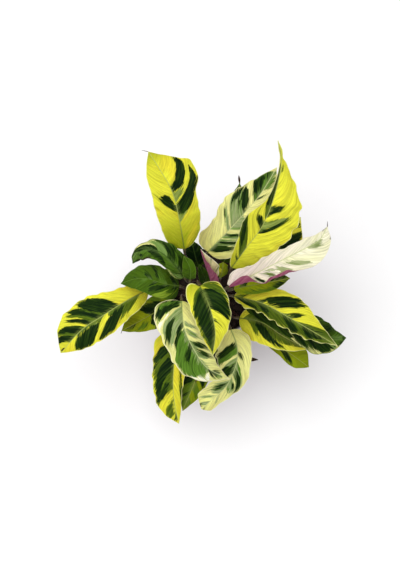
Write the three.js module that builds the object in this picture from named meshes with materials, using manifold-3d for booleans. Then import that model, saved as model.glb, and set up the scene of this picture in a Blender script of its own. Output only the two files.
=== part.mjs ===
// A potted prayer plant with yellow, cream and dark green foliage, in a plain round nursery pot.
// Millimetres, +Z up. The origin is the centre of the pot's flat underside, where it stands.
// +X is to the viewer's right and +Y runs away from the viewer.

import * as THREE from 'three';
import { mergeVertices } from 'three/addons/utils/BufferGeometryUtils.js';
import Module from 'manifold-3d';

const wasm = await Module();
wasm.setup();

// Pot: a 12 cm nursery pot with a straight rim band and drain holes round a closed centre.
const POT_TOP_RADIUS = 60;
const POT_BASE_RADIUS = 43;
const POT_HEIGHT = 105;
const POT_WALL = 1.6;
const POT_FLOOR = 2.2;
const RIM_BAND_HEIGHT = 16;
const RIM_STEP = 1.8;
const RIM_LIP = 2;
const DRAIN_HOLES = 8;
const DRAIN_HOLE_RADIUS = 4;
const DRAIN_HOLE_SIDES = 10;
const DRAIN_CIRCLE_RADIUS = 29;
const POT_SIDES = 48;

// Potting soil, slightly mounded at the crown and uneven on top.
const SOIL_LEVEL = 91;
const SOIL_MOUND = 4;
const SOIL_BUMP = 1.1;
const SOIL_FINE_BUMP = 0.66;
const SOIL_BUMP_SPACING = [31, 38];
const SOIL_FINE_SPACING = 19;
const SOIL_RINGS = 6;
const SOIL_SIDES = 32;

// Air left between neighbouring pieces, and between a stalk's end and its blade.
const GAP = 0.3;
const STALK_END_GAP = 0.7;

// Leaf stalks: a sheathing foot in the soil, a slim shaft and a swollen joint under the blade.
// Each rises straight from the soil, bulges up a little on its way and meets its blade from behind.
const STALK_DEPTH = 9;
const STALK_COLLAR = 4;
const STALK_BULGE = 0.06;
const FOOT_RADIUS = 2.6;
const SHAFT_RADIUS = 1.5;
const JOINT_RADIUS = 1.9;
const NECK_BACK = 11;
const NECK_DOWN = 4;
const STALK_STEPS = 9;
const STALK_SIDES = 6;

// Leaf blades: how thick they are along the midrib, how fast they thin at both ends, and how
// finely they are cut along and across.
const BLADE_THICKNESS = 1.1;
const END_THINNING = 4;
const BLADE_STEPS = 14;
const HALF_STEPS = 3;
const STEP_POWER = 1.25;
const SECTION_STEPS = 24;

// The blade's rounded base and drawn-out tip, as fractions of its length.
const BASE_ROUNDING = 0.16;
const TIP_START = 0.7;
const TIP_POWER = 1.7;

// How far along the blade its base lobes reach back past the stalk.
const LOBE_REACH = 0.22;

// Vertices closer than this are one.
const MERGE_DISTANCE = 1e-4;

const ROUGHNESS = { pot: 0.5, soil: 0.95, stalk: 0.6, leaf: 0.45 };

const COLOURS = {
  pot: 0x2b2927,
  soil: 0x241a14,
  stalk: 0x4a2a22,
  yellow: 0xd8d832,
  cream: 0xe6e3b0,
  green: 0x3f6b1f,
  dark: 0x1f3b1d,
  purple: 0x8a4468,
  dry: 0x5a4632,
};

// One row for each leaf. root is where its stalk leaves the soil (x, y). spine runs along the
// midrib from base to tip. left and right are half widths at even steps from base to tip, before
// the ends are rounded. roll turns the blade about its midrib, left side up, fold lifts each half
// at the midrib and curl bends it down again towards its margin, in degrees, left half and right
// half. lobe pushes the base of each half back past the stalk. A list in place of one number runs
// from base to tip. rightBend, where given, is where across the right half its curl starts and
// ends, tipStart is where along the blade the tip starts, and steps and halfSteps cut a blade
// finer along its length and across each half.
const LEAVES = [
  { name: 'back_left', colour: 'yellow', root: [-16, 12],
    spine: [[-41, 27, 230], [-46, 54, 258], [-54, 82, 282], [-68, 105, 294], [-82, 129, 288]],
    left: [18, 23, 25.5, 21, 18], right: [16, 20.5, 25, 26.5, 27, 37, 36, 27, 24],
    fold: [10, 12], curl: [20, 30], lobe: [0, 0] },
  { name: 'back_middle', colour: 'cream', root: [-1, 19],
    spine: [[-12, 29, 205], [9, 46, 228], [30, 65, 248], [50, 87, 258], [71, 123, 250]],
    left: [34, 24.5, 24, 29.5, 30.5, 26, 21, 18, 18], right: [24, 26, 26, 17, 13],
    fold: [8, 8], curl: [25, 20], lobe: [14, 0] },
  { name: 'back_right', colour: 'yellow', root: [14, 4],
    spine: [[17, 7, 216], [32, 22, 250], [48, 38, 284], [58, 58, 306], [66, 86, 320],
      [69, 109, 322], [66, 131, 318]],
    left: [9, 10.5, 15, 21.5, 20.5, 7.5, 3.2, 2, 2],
    right: [15, 20, 26, 31, 35.5, 33, 18.5, 3.2, 2.5], tipStart: 0.92,
    fold: [20, [0, 4, 8]], curl: [10, [35, 25, 20]], lobe: [0, 0] },
  { name: 'back_hidden', colour: 'green', root: [4, 18],
    spine: [[9, 25, 165], [20, 55, 190], [26, 86, 205], [28, 117, 208]],
    left: [18, 21, 22, 15, 12], right: [17, 19, 20, 14, 12],
    fold: [10, 10], curl: [25, 25], lobe: [0, 0] },
  { name: 'back_shaded', colour: 'dark', root: [-20, 19],
    spine: [[-24, 24, 143], [-28, 34, 158], [-31, 45, 164], [-33, 55, 162]],
    left: [12, 15, 14, 11, 8], right: [12, 15, 13, 10, 7],
    fold: [15, 15], curl: [20, 20], lobe: [0, 0] },
  { name: 'right_shaded', colour: 'dark', root: [19, 10],
    spine: [[29, 7, 178], [50, 17, 200], [76, 35, 218], [101, 67, 229]],
    left: [14, 18, 21, 18, 15], right: [15, 19, 25, 23, 18],
    fold: [10, 10], curl: [25, 25], lobe: [0, 0] },
  { name: 'right_cream', colour: 'cream', root: [6, -13],
    spine: [[13, -22, 243], [39, -12, 259], [60, -3, 270], [91, 11, 281], [114, 24, 283],
      [125, 41, 279]],
    left: [12, 15, 11, 12.5, 12.5, 11, 11.5, 12, 12],
    right: [10, 14.5, 19.5, 25, 23.5, 26.5, 26, 24, 24, 22.5, 21],
    fold: [10, 5], lobe: [8, 0], steps: 28, halfSteps: 12,
    curl: [10, [-150, -150, -150, -95, -120, -130, -70, -20, 0, 0, 0]],
    rightBend: [[0.1, 0.1, 0.15, 0.35, 0.5, 0.5, 0.5, 0.5, 0.5, 0.5, 0.5],
      [0.7, 0.7, 0.7, 0.85, 0.95, 0.95, 0.95, 1, 1, 1, 1]] },
  { name: 'right_olive', colour: 'green', root: [20, -3],
    spine: [[20, -18, 208], [39, -17, 222], [60, -14, 228], [87, -8, 223]],
    left: [8, 14, 16, 14, 12], right: [7, 10, 12, 10, 8],
    fold: [10, 10], curl: [20, 20], lobe: [0, 0] },
  { name: 'right_upper', colour: 'yellow', root: [14, -15],
    spine: [[21, -24, 188], [54, -36, 208], [88, -55, 210], [119, -71, 198], [149, -85, 180]],
    left: [12, 21.5, 27, 14, 10], right: [12, 13.5, 17, 14, 9],
    roll: [10, 20, 10], fold: [5, 5], curl: [15, 50], lobe: [0, 0] },
  { name: 'right_far', colour: 'dark', root: [23, -10],
    spine: [[37, -22, 150], [73, -46, 168], [110, -64, 172], [143, -73, 164], [165, -72, 155]],
    left: [19, 23, 24, 22, 23], right: [13, 14, 17, 26, 26],
    fold: [10, 10], curl: [25, 25], lobe: [0, 0] },
  { name: 'right_lower', colour: 'yellow', root: [17, -21],
    spine: [[30, -44, 140], [58, -52, 152], [87, -71, 152], [118, -85, 142]],
    left: [16, 19, 24, 22, 20], right: [17, 26.5, 23.5, 15, 14],
    fold: [10, 10], curl: [25, 25], lobe: [0, 0] },
  { name: 'right_lowest', colour: 'green', root: [22, -29],
    spine: [[40, -48, 124], [71, -73, 128], [97, -89, 122], [123, -105, 106]],
    left: [13, 17, 21, 24, 26], right: [5, 7, 9, 14, 18],
    fold: [8, 8], curl: [20, 20], lobe: [0, 0] },
  { name: 'front_right', colour: 'cream', root: [8, -23],
    spine: [[18, -61, 150], [25, -82, 158], [25, -102, 160], [18, -122, 152], [10, -135, 142],
      [-5, -148, 132], [-20, -161, 121]],
    left: [18, 18.5, 18, 20, 13, 10.5, 10], right: [17, 24, 28, 18, 18, 18, 17],
    fold: [8, 8], curl: [20, 20], lobe: [0, 8], tipStart: 0.92 },
  { name: 'front_cream', colour: 'cream', root: [-14, -16],
    spine: [[-44, -36, 222], [-43, -53, 230], [-40, -72, 228], [-29, -94, 215], [-13, -114, 196],
      [15, -126, 174]],
    left: [14, 20, 19, 15, 6], right: [36, 36, 31, 28.5, 29.5, 27, 18, 14, 10],
    fold: [8, 8], curl: [20, 30], lobe: [0, 18] },
  { name: 'front_top', colour: 'yellow', root: [-8, -9],
    spine: [[-22, -24, 255], [-14, -42, 264], [-7, -62, 258], [-4, -80, 240], [-7, -101, 216]],
    left: [22, 24, 20, 9, 8], right: [18, 22, 20, 16, 9],
    fold: [12, 12], curl: [25, 25], lobe: [9, 30] },
  { name: 'front_low_yellow', colour: 'yellow', root: [-18, -25],
    spine: [[-51, -66, 135], [-55, -99, 140], [-57, -130, 128], [-55, -155, 112],
      [-50, -179, 98]],
    left: [18, 20, 14, 10, 11], right: [31, 28, 27, 24, 25],
    fold: [10, 10], curl: [25, 25], lobe: [0, 14] },
  { name: 'front_low_green', colour: 'green', root: [-5, -31],
    spine: [[-9, -66, 126], [-17, -95, 128], [-28, -124, 118], [-45, -162, 92]],
    left: [21, 25, 17, 13, 11], right: [14, 18, 20, 16, 14],
    fold: [10, 10], curl: [25, 25], lobe: [0, 0] },
  { name: 'left_long', colour: 'yellow', root: [-30, 1],
    spine: [[-89, -13, 172], [-116, -30, 184], [-144, -48, 183], [-171, -64, 172],
      [-200, -91, 152]],
    left: [13, 20, 26, 24, 22], right: [16, 20, 32, 32, 44],
    fold: [10, 10], curl: [25, 25], lobe: [0, 0] },
  { name: 'left_low', colour: 'green', root: [-27, -19],
    spine: [[-58, -24, 130], [-81, -37, 140], [-103, -49, 137], [-125, -59, 126]],
    left: [14, 19, 19, 12, 10], right: [19, 21, 21, 17, 15],
    fold: [10, 10], curl: [25, 25], lobe: [0, 0] },
  { name: 'left_green', colour: 'green', root: [-25, -7],
    spine: [[-48, -12, 194], [-65, -12, 208], [-87, -6, 210], [-104, -5, 202],
      [-121, -8, 189]],
    left: [18, 19, 18, 13, 12], right: [16, 18.5, 19, 14, 11],
    fold: [10, 10], curl: [25, 25], lobe: [0, 0] },
  { name: 'left_arching', colour: 'dark', root: [-22, 8],
    spine: [[-41, -5, 216], [-52, 6, 232], [-66, 18, 242], [-82, 25, 238], [-98, 23, 224],
      [-105, 14, 207]],
    left: [12, 11, 12, 12, 14], right: [13, 17, 14, 8, 8.5],
    fold: [10, 10], curl: [25, 25], lobe: [0, 0] },
  { name: 'inner_folded', colour: 'green', root: [-14, 3],
    spine: [[-34, -9, 222], [-34, 2, 236], [-41, 15, 242]],
    left: [7, 9, 10, 8, 7], right: [7, 7, 7, 6, 5],
    fold: [20, 20], curl: [15, 15], lobe: [0, 0] },
  { name: 'inner_shaded', colour: 'dark', root: [-8, 4],
    spine: [[-11, -3, 145], [-16, 5, 162], [-20, 13, 170], [-23, 21, 170]],
    left: [8, 8, 8, 6, 5], right: [8, 8, 8, 6, 5],
    fold: [20, 20], curl: [20, 20], lobe: [0, 0] },
  { name: 'inner_rolled', colour: 'purple', root: [-1, 0],
    spine: [[-7, -9, 188], [-10, -2, 208], [-14, 5, 226], [-18, 13, 241], [-21, 21, 252]],
    left: [10, 13, 9, 5, 4], right: [6, 10, 15, 10, 6],
    fold: [[100, 100, 90], 30], curl: [-60, 30], lobe: [0, 0], halfSteps: 6 },
  { name: 'inner_bud', colour: 'green', root: [6, 1],
    spine: [[4, 3, 172], [6, 9, 192], [7, 16, 204]],
    left: [5, 8, 9, 8, 6], right: [5, 7, 8, 8, 7],
    fold: [-10, -10], curl: [40, 40], lobe: [0, 0] },
  { name: 'dry_tip', colour: 'dry', root: [13, -33],
    spine: [[24, -76, 118], [39, -94, 121], [55, -96, 113]],
    left: [2, 3, 4, 3, 3], right: [2, 3, 4, 3, 3],
    fold: [30, 30], curl: [20, 20], lobe: [0, 0] },
];

// Value at fraction x of a list of evenly spaced values, on a smooth curve through them all.
function smoothAt(values, x) {
  const spans = values.length - 1;
  const u = THREE.MathUtils.clamp(x, 0, 1) * spans;
  const i = Math.min(Math.floor(u), spans - 1);
  const t = u - i;
  const before = i > 0 ? values[i - 1] : 2 * values[0] - values[1];
  const after = i + 2 <= spans ? values[i + 2] : 2 * values[spans] - values[spans - 1];
  const slopeIn = (values[i + 1] - before) / 2;
  const slopeOut = (after - values[i]) / 2;
  const rise = values[i + 1] - values[i];
  return values[i] + slopeIn * t + (3 * rise - 2 * slopeIn - slopeOut) * t * t
    + (slopeIn + slopeOut - 2 * rise) * t * t * t;
}

// A setting that is either one number or a list of values along the blade.
function settingAt(setting, s) {
  return Array.isArray(setting) ? smoothAt(setting, s) : setting;
}

// How much of its half width a blade has at fraction s of its length.
function endShape(leaf, s) {
  const tipStart = leaf.tipStart ?? TIP_START;
  const fromBase = Math.min(s / BASE_ROUNDING, 1);
  const towardsTip = Math.max(0, (s - tipStart) / (1 - tipStart));
  return Math.sqrt(Math.max(0, 1 - (1 - fromBase) ** 2)) * (1 - towardsTip ** TIP_POWER);
}

// The blade's own axes at fraction s: a point on the midrib, its direction, left and up.
function bladeFrame(leaf, curve, s) {
  const point = curve.getPointAt(s);
  const along = curve.getTangentAt(s);
  const level = new THREE.Vector3(0, 0, 1).addScaledVector(along, -along.z).normalize();
  const right = along.clone().cross(level);
  const roll = THREE.MathUtils.degToRad(settingAt(leaf.roll ?? 0, s));
  const up = level.multiplyScalar(Math.cos(roll)).addScaledVector(right, Math.sin(roll));
  const left = up.clone().cross(along);
  return { point, along, left, up };
}

// The cross section of half a blade at fraction s, one half width wide: how far across and
// how far up each of its points lies from the midrib, and its slope there.
function halfSection(leaf, s, half) {
  const fold = THREE.MathUtils.degToRad(settingAt(leaf.fold[half], s));
  const curl = THREE.MathUtils.degToRad(settingAt(leaf.curl[half], s));
  const [from, to] = (half === 1 && leaf.rightBend) || [0, 1];
  const bendFrom = settingAt(from, s);
  const bendSpan = settingAt(to, s) - bendFrom;
  const section = [{ across: 0, lift: 0, slope: fold }];
  for (let i = 0; i < SECTION_STEPS; i += 1) {
    const out = (i + 0.5) / SECTION_STEPS;
    const bent = THREE.MathUtils.clamp((out - bendFrom) / bendSpan, 0, 1);
    const angle = fold - curl * bent;
    section.push({
      across: section[i].across + Math.cos(angle) / SECTION_STEPS,
      lift: section[i].lift + Math.sin(angle) / SECTION_STEPS,
      slope: angle,
    });
  }
  return section;
}

// A point of the blade's middle surface and the normal there. side is 1 on the left half and -1
// on the right, and out runs from 0 at the midrib to 1 at the margin.
function bladePoint(leaf, frame, s, side, out) {
  const half = side > 0 ? 0 : 1;
  const ends = endShape(leaf, s);
  const width = smoothAt(side > 0 ? leaf.left : leaf.right, s) * ends;
  const { across, lift, slope } = halfSection(leaf, s, half)[Math.round(out * SECTION_STEPS)];
  const nearBase = Math.max(0, 1 - s / LOBE_REACH);
  const lobe = leaf.lobe[half] * ends * nearBase * nearBase;
  const middle = frame.point.clone()
    .addScaledVector(frame.left, side * width * across)
    .addScaledVector(frame.up, width * lift)
    .addScaledVector(frame.along, -lobe * out * out);
  const normal = frame.up.clone().multiplyScalar(Math.cos(slope))
    .addScaledVector(frame.left, -side * Math.sin(slope));
  return { middle, normal };
}

// A closed solid from loose triangles given as a flat list of points.
function solidFrom(points) {
  const flat = points.flatMap((p) => [p.x, p.y, p.z]);
  const loose = new THREE.BufferGeometry()
    .setAttribute('position', new THREE.Float32BufferAttribute(flat, 3));
  const merged = mergeVertices(loose, MERGE_DISTANCE);
  const corners = [];
  for (let i = 0; i < merged.index.count; i += 3) {
    const [a, b, c] = [0, 1, 2].map((k) => merged.index.getX(i + k));
    if (a !== b && b !== c && c !== a) corners.push(a, b, c);
  }
  merged.setIndex(corners);
  return merged;
}

// The four corners of a grid cell as two triangles, in turn a, b, c, d.
function cell(a, b, c, d) {
  return [a, b, c, a, c, d];
}

function spineCurve(leaf) {
  const points = leaf.spine.map((p) => new THREE.Vector3(...p));
  return new THREE.CatmullRomCurve3(points, false, 'catmullrom', 0.5);
}

// The top and bottom points across the blade at fraction s, from the left margin to the right.
function bladeRow(leaf, curve, s) {
  const steps = leaf.halfSteps ?? HALF_STEPS;
  const frame = bladeFrame(leaf, curve, s);
  const ends = Math.min(1, END_THINNING * s, END_THINNING * (1 - s));
  const row = [];
  for (let j = -steps; j <= steps; j += 1) {
    const out = Math.abs(j) / steps;
    const { middle, normal } = bladePoint(leaf, frame, s, j <= 0 ? 1 : -1, out);
    if (j === 0) normal.add(bladePoint(leaf, frame, s, -1, 0).normal).normalize();
    const half = (BLADE_THICKNESS / 2) * Math.sqrt(1 - out * out) * ends;
    row.push({
      top: middle.clone().addScaledVector(normal, half),
      bottom: middle.clone().addScaledVector(normal, -half),
    });
  }
  return row;
}

// A blade is two skins that meet along the margin, thickest at the midrib.
function bladeGeometry(leaf) {
  const curve = spineCurve(leaf);
  const steps = leaf.steps ?? BLADE_STEPS;
  const rows = [];
  for (let i = 0; i <= steps; i += 1) {
    rows.push(bladeRow(leaf, curve, (i / steps) ** STEP_POWER));
  }
  const points = [];
  for (let i = 0; i < steps; i += 1) {
    for (let j = 0; j < rows[i].length - 1; j += 1) {
      const [a, b, c, d] = [rows[i][j], rows[i][j + 1], rows[i + 1][j + 1], rows[i + 1][j]];
      points.push(...cell(a.top, b.top, c.top, d.top));
      points.push(...cell(d.bottom, c.bottom, b.bottom, a.bottom));
    }
  }
  return solidFrom(points);
}

// A stalk's path, from below the soil up to the base of its blade.
function stalkCurve(leaf) {
  const { point, along, up } = bladeFrame(leaf, spineCurve(leaf), 0);
  const top = point.addScaledVector(along, -STALK_END_GAP).addScaledVector(up, -GAP);
  const foot = new THREE.Vector3(leaf.root[0], leaf.root[1], SOIL_LEVEL - STALK_DEPTH);
  const ground = foot.clone().setZ(SOIL_LEVEL + SOIL_MOUND + STALK_COLLAR);
  const neck = top.clone().addScaledVector(along, -NECK_BACK).addScaledVector(up, -NECK_DOWN);
  const middle = ground.clone().lerp(neck, 0.5);
  middle.z += STALK_BULGE * (neck.z - ground.z);
  return new THREE.CatmullRomCurve3([foot, ground, middle, neck, top], false, 'centripetal');
}

// A closed round bar along a curve, whose radius is a function of the fraction along it.
function barAlong(curve, steps, sides, radiusAt) {
  const frames = curve.computeFrenetFrames(steps, false);
  const rings = [];
  for (let i = 0; i <= steps; i += 1) {
    const centre = curve.getPointAt(i / steps);
    const radius = radiusAt(i / steps);
    const ring = [];
    for (let k = 0; k < sides; k += 1) {
      const turn = (2 * Math.PI * k) / sides;
      ring.push(centre.clone()
        .addScaledVector(frames.normals[i], radius * Math.cos(turn))
        .addScaledVector(frames.binormals[i], radius * Math.sin(turn)));
    }
    rings.push({ centre, ring });
  }
  const points = [];
  for (let k = 0; k < sides; k += 1) {
    const next = (k + 1) % sides;
    for (let i = 0; i < steps; i += 1) {
      const [low, high] = [rings[i].ring, rings[i + 1].ring];
      points.push(...cell(low[k], low[next], high[next], high[k]));
    }
    points.push(rings[0].centre, rings[0].ring[next], rings[0].ring[k]);
    points.push(rings[steps].centre, rings[steps].ring[k], rings[steps].ring[next]);
  }
  return solidFrom(points);
}

function stalkGeometry(leaf, extra = 0) {
  const radiusAt = (x) => smoothAt([FOOT_RADIUS, FOOT_RADIUS, SHAFT_RADIUS, SHAFT_RADIUS,
    SHAFT_RADIUS, JOINT_RADIUS], x) + extra;
  return barAlong(stalkCurve(leaf), STALK_STEPS, STALK_SIDES, radiusAt);
}

// Solids for cutting and joining, and back to a geometry.
function toManifold(geometry) {
  const bare = geometry.clone();
  bare.deleteAttribute('normal');
  bare.deleteAttribute('uv');
  const merged = mergeVertices(bare, MERGE_DISTANCE);
  return new wasm.Manifold(new wasm.Mesh({
    numProp: 3,
    vertProperties: new Float32Array(merged.attributes.position.array),
    triVerts: new Uint32Array(merged.index.array),
  }));
}

function toGeometry(manifold) {
  const mesh = manifold.getMesh();
  const geometry = new THREE.BufferGeometry();
  geometry.setAttribute('position', new THREE.Float32BufferAttribute(mesh.vertProperties, 3));
  geometry.setIndex(Array.from(mesh.triVerts));
  return geometry;
}

// A solid of revolution about +Z from a profile of [radius, height] points, going round it
// with the material on its left.
function turned(profile, sides) {
  const outline = profile.map(([r, z]) => new THREE.Vector2(r, z));
  return new THREE.LatheGeometry(outline, sides).rotateX(Math.PI / 2);
}

// The radius of the pot's outer wall at height z, below the rim band.
function wallRadius(z) {
  const top = POT_TOP_RADIUS - RIM_STEP - RIM_LIP / 2;
  return POT_BASE_RADIUS + ((top - POT_BASE_RADIUS) * z) / (POT_HEIGHT - RIM_BAND_HEIGHT);
}

function potGeometry() {
  const bandFoot = POT_HEIGHT - RIM_BAND_HEIGHT;
  const bandRadius = POT_TOP_RADIUS - RIM_LIP / 2;
  const profile = [
    [0, 0],
    [POT_BASE_RADIUS, 0],
    [wallRadius(bandFoot), bandFoot],
    [bandRadius, bandFoot + RIM_STEP],
    [bandRadius, POT_HEIGHT - RIM_LIP],
    [POT_TOP_RADIUS, POT_HEIGHT - RIM_LIP / 2],
    [bandRadius, POT_HEIGHT],
    [bandRadius - POT_WALL, POT_HEIGHT - RIM_LIP / 2],
    [bandRadius - POT_WALL, bandFoot + RIM_STEP],
    [wallRadius(bandFoot) - POT_WALL, bandFoot],
    [wallRadius(POT_FLOOR) - POT_WALL, POT_FLOOR],
    [0, POT_FLOOR],
  ];
  let pot = toManifold(turned(profile, POT_SIDES));
  for (let k = 0; k < DRAIN_HOLES; k += 1) {
    const turn = (2 * Math.PI * (k + 0.5)) / DRAIN_HOLES;
    const hole = new THREE.CylinderGeometry(DRAIN_HOLE_RADIUS, DRAIN_HOLE_RADIUS,
      3 * POT_FLOOR, DRAIN_HOLE_SIDES).rotateX(Math.PI / 2);
    hole.translate(DRAIN_CIRCLE_RADIUS * Math.cos(turn), DRAIN_CIRCLE_RADIUS * Math.sin(turn),
      POT_FLOOR / 2);
    pot = pot.subtract(toManifold(hole));
  }
  return toGeometry(pot);
}

// Height of the soil's surface at (x, y).
function soilTop(x, y) {
  const outward = Math.hypot(x, y) / POT_TOP_RADIUS;
  const turnX = (2 * Math.PI * x) / SOIL_BUMP_SPACING[0];
  const turnY = (2 * Math.PI * y) / SOIL_BUMP_SPACING[1];
  const bump = SOIL_BUMP * Math.sin(turnX + 1) * Math.sin(turnY + 2);
  const fine = SOIL_FINE_BUMP * Math.sin((2 * Math.PI * (x + y)) / SOIL_FINE_SPACING);
  return SOIL_LEVEL + SOIL_MOUND * (1 - outward * outward) + bump + fine;
}

function soilGeometry() {
  const bandFoot = POT_HEIGHT - RIM_BAND_HEIGHT;
  const low = POT_FLOOR + GAP;
  const profile = [[0, low], [wallRadius(low) - POT_WALL - GAP, low],
    [wallRadius(bandFoot) - POT_WALL - GAP, bandFoot - GAP]];
  const topRadius = wallRadius(bandFoot) - POT_WALL - GAP;
  for (let i = SOIL_RINGS; i > 0; i -= 1) {
    profile.push([(topRadius * i) / SOIL_RINGS, SOIL_LEVEL]);
  }
  profile.push([0, SOIL_LEVEL]);
  const soil = turned(profile, SOIL_SIDES);
  const place = soil.attributes.position;
  for (let i = 0; i < place.count; i += 1) {
    if (place.getZ(i) > bandFoot) place.setZ(i, soilTop(place.getX(i), place.getY(i)));
  }
  let solid = toManifold(soil);
  for (const leaf of LEAVES) {
    solid = solid.subtract(toManifold(stalkGeometry(leaf, GAP)));
  }
  return toGeometry(solid);
}

function named(name, geometry, colour, roughness) {
  const flat = geometry.index ? geometry.toNonIndexed() : geometry;
  flat.computeVertexNormals();
  const material = new THREE.MeshStandardMaterial({ color: COLOURS[colour], roughness,
    metalness: 0 });
  const mesh = new THREE.Mesh(flat, material);
  mesh.name = name;
  return mesh;
}

const plant = new THREE.Group();
plant.add(named('pot', potGeometry(), 'pot', ROUGHNESS.pot));
plant.add(named('soil', soilGeometry(), 'soil', ROUGHNESS.soil));
for (const leaf of LEAVES) {
  plant.add(named(`stalk_${leaf.name}`, stalkGeometry(leaf), 'stalk', ROUGHNESS.stalk));
  plant.add(named(`leaf_${leaf.name}`, bladeGeometry(leaf), leaf.colour, ROUGHNESS.leaf));
}

export default plant;
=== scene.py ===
"""A potted prayer plant with yellow, cream and dark green leaves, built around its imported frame."""

import math

import bpy
import numpy as np
from bpy.props import FloatProperty, FloatVectorProperty, IntProperty, PointerProperty
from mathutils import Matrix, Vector


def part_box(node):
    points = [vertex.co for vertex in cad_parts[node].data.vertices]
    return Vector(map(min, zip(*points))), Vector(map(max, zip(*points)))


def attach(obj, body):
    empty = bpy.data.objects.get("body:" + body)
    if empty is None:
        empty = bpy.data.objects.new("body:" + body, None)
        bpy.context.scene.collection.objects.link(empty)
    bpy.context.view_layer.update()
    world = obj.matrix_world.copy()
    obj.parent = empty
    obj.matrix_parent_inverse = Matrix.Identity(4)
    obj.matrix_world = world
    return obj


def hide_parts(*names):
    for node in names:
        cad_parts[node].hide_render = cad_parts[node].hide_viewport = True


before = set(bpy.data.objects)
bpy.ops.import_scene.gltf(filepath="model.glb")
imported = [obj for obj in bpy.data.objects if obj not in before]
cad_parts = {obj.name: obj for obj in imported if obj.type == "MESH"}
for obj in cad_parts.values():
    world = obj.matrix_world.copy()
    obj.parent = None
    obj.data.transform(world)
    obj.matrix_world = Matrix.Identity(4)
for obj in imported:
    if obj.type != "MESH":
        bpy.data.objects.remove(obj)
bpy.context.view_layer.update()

bl_info = {
    "name": "Potted Prayer Plant",
    "version": (1, 0, 0),
    "blender": (4, 5, 0),
    "location": "View3D > Sidebar > Prayer Plant",
    "description": "Builds a potted prayer plant with patterned leaves, leaf by leaf",
    "category": "Add Mesh",
}

BODY = "root"
MM = 0.001


def blade(kind, **shape):
    """One blade's shape and pattern, with the usual values for what isn't given."""
    usual = {
        "fold": (10, 10),
        "curl": (25, 25),
        "roll": (0, 0, 0),
        "lobe": (0, 0),
        "tip_start": 0.7,
        "right_bend": None,
        "thread": None,
        "thread_swell": 0,
        "greening": (0.6, 0.15, 0.0, 0.1, 0.4),
        "wave": (0.6, 0.6),
        "rim": (1, 1),
    }
    return {**usual, "kind": kind, **shape}


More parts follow.
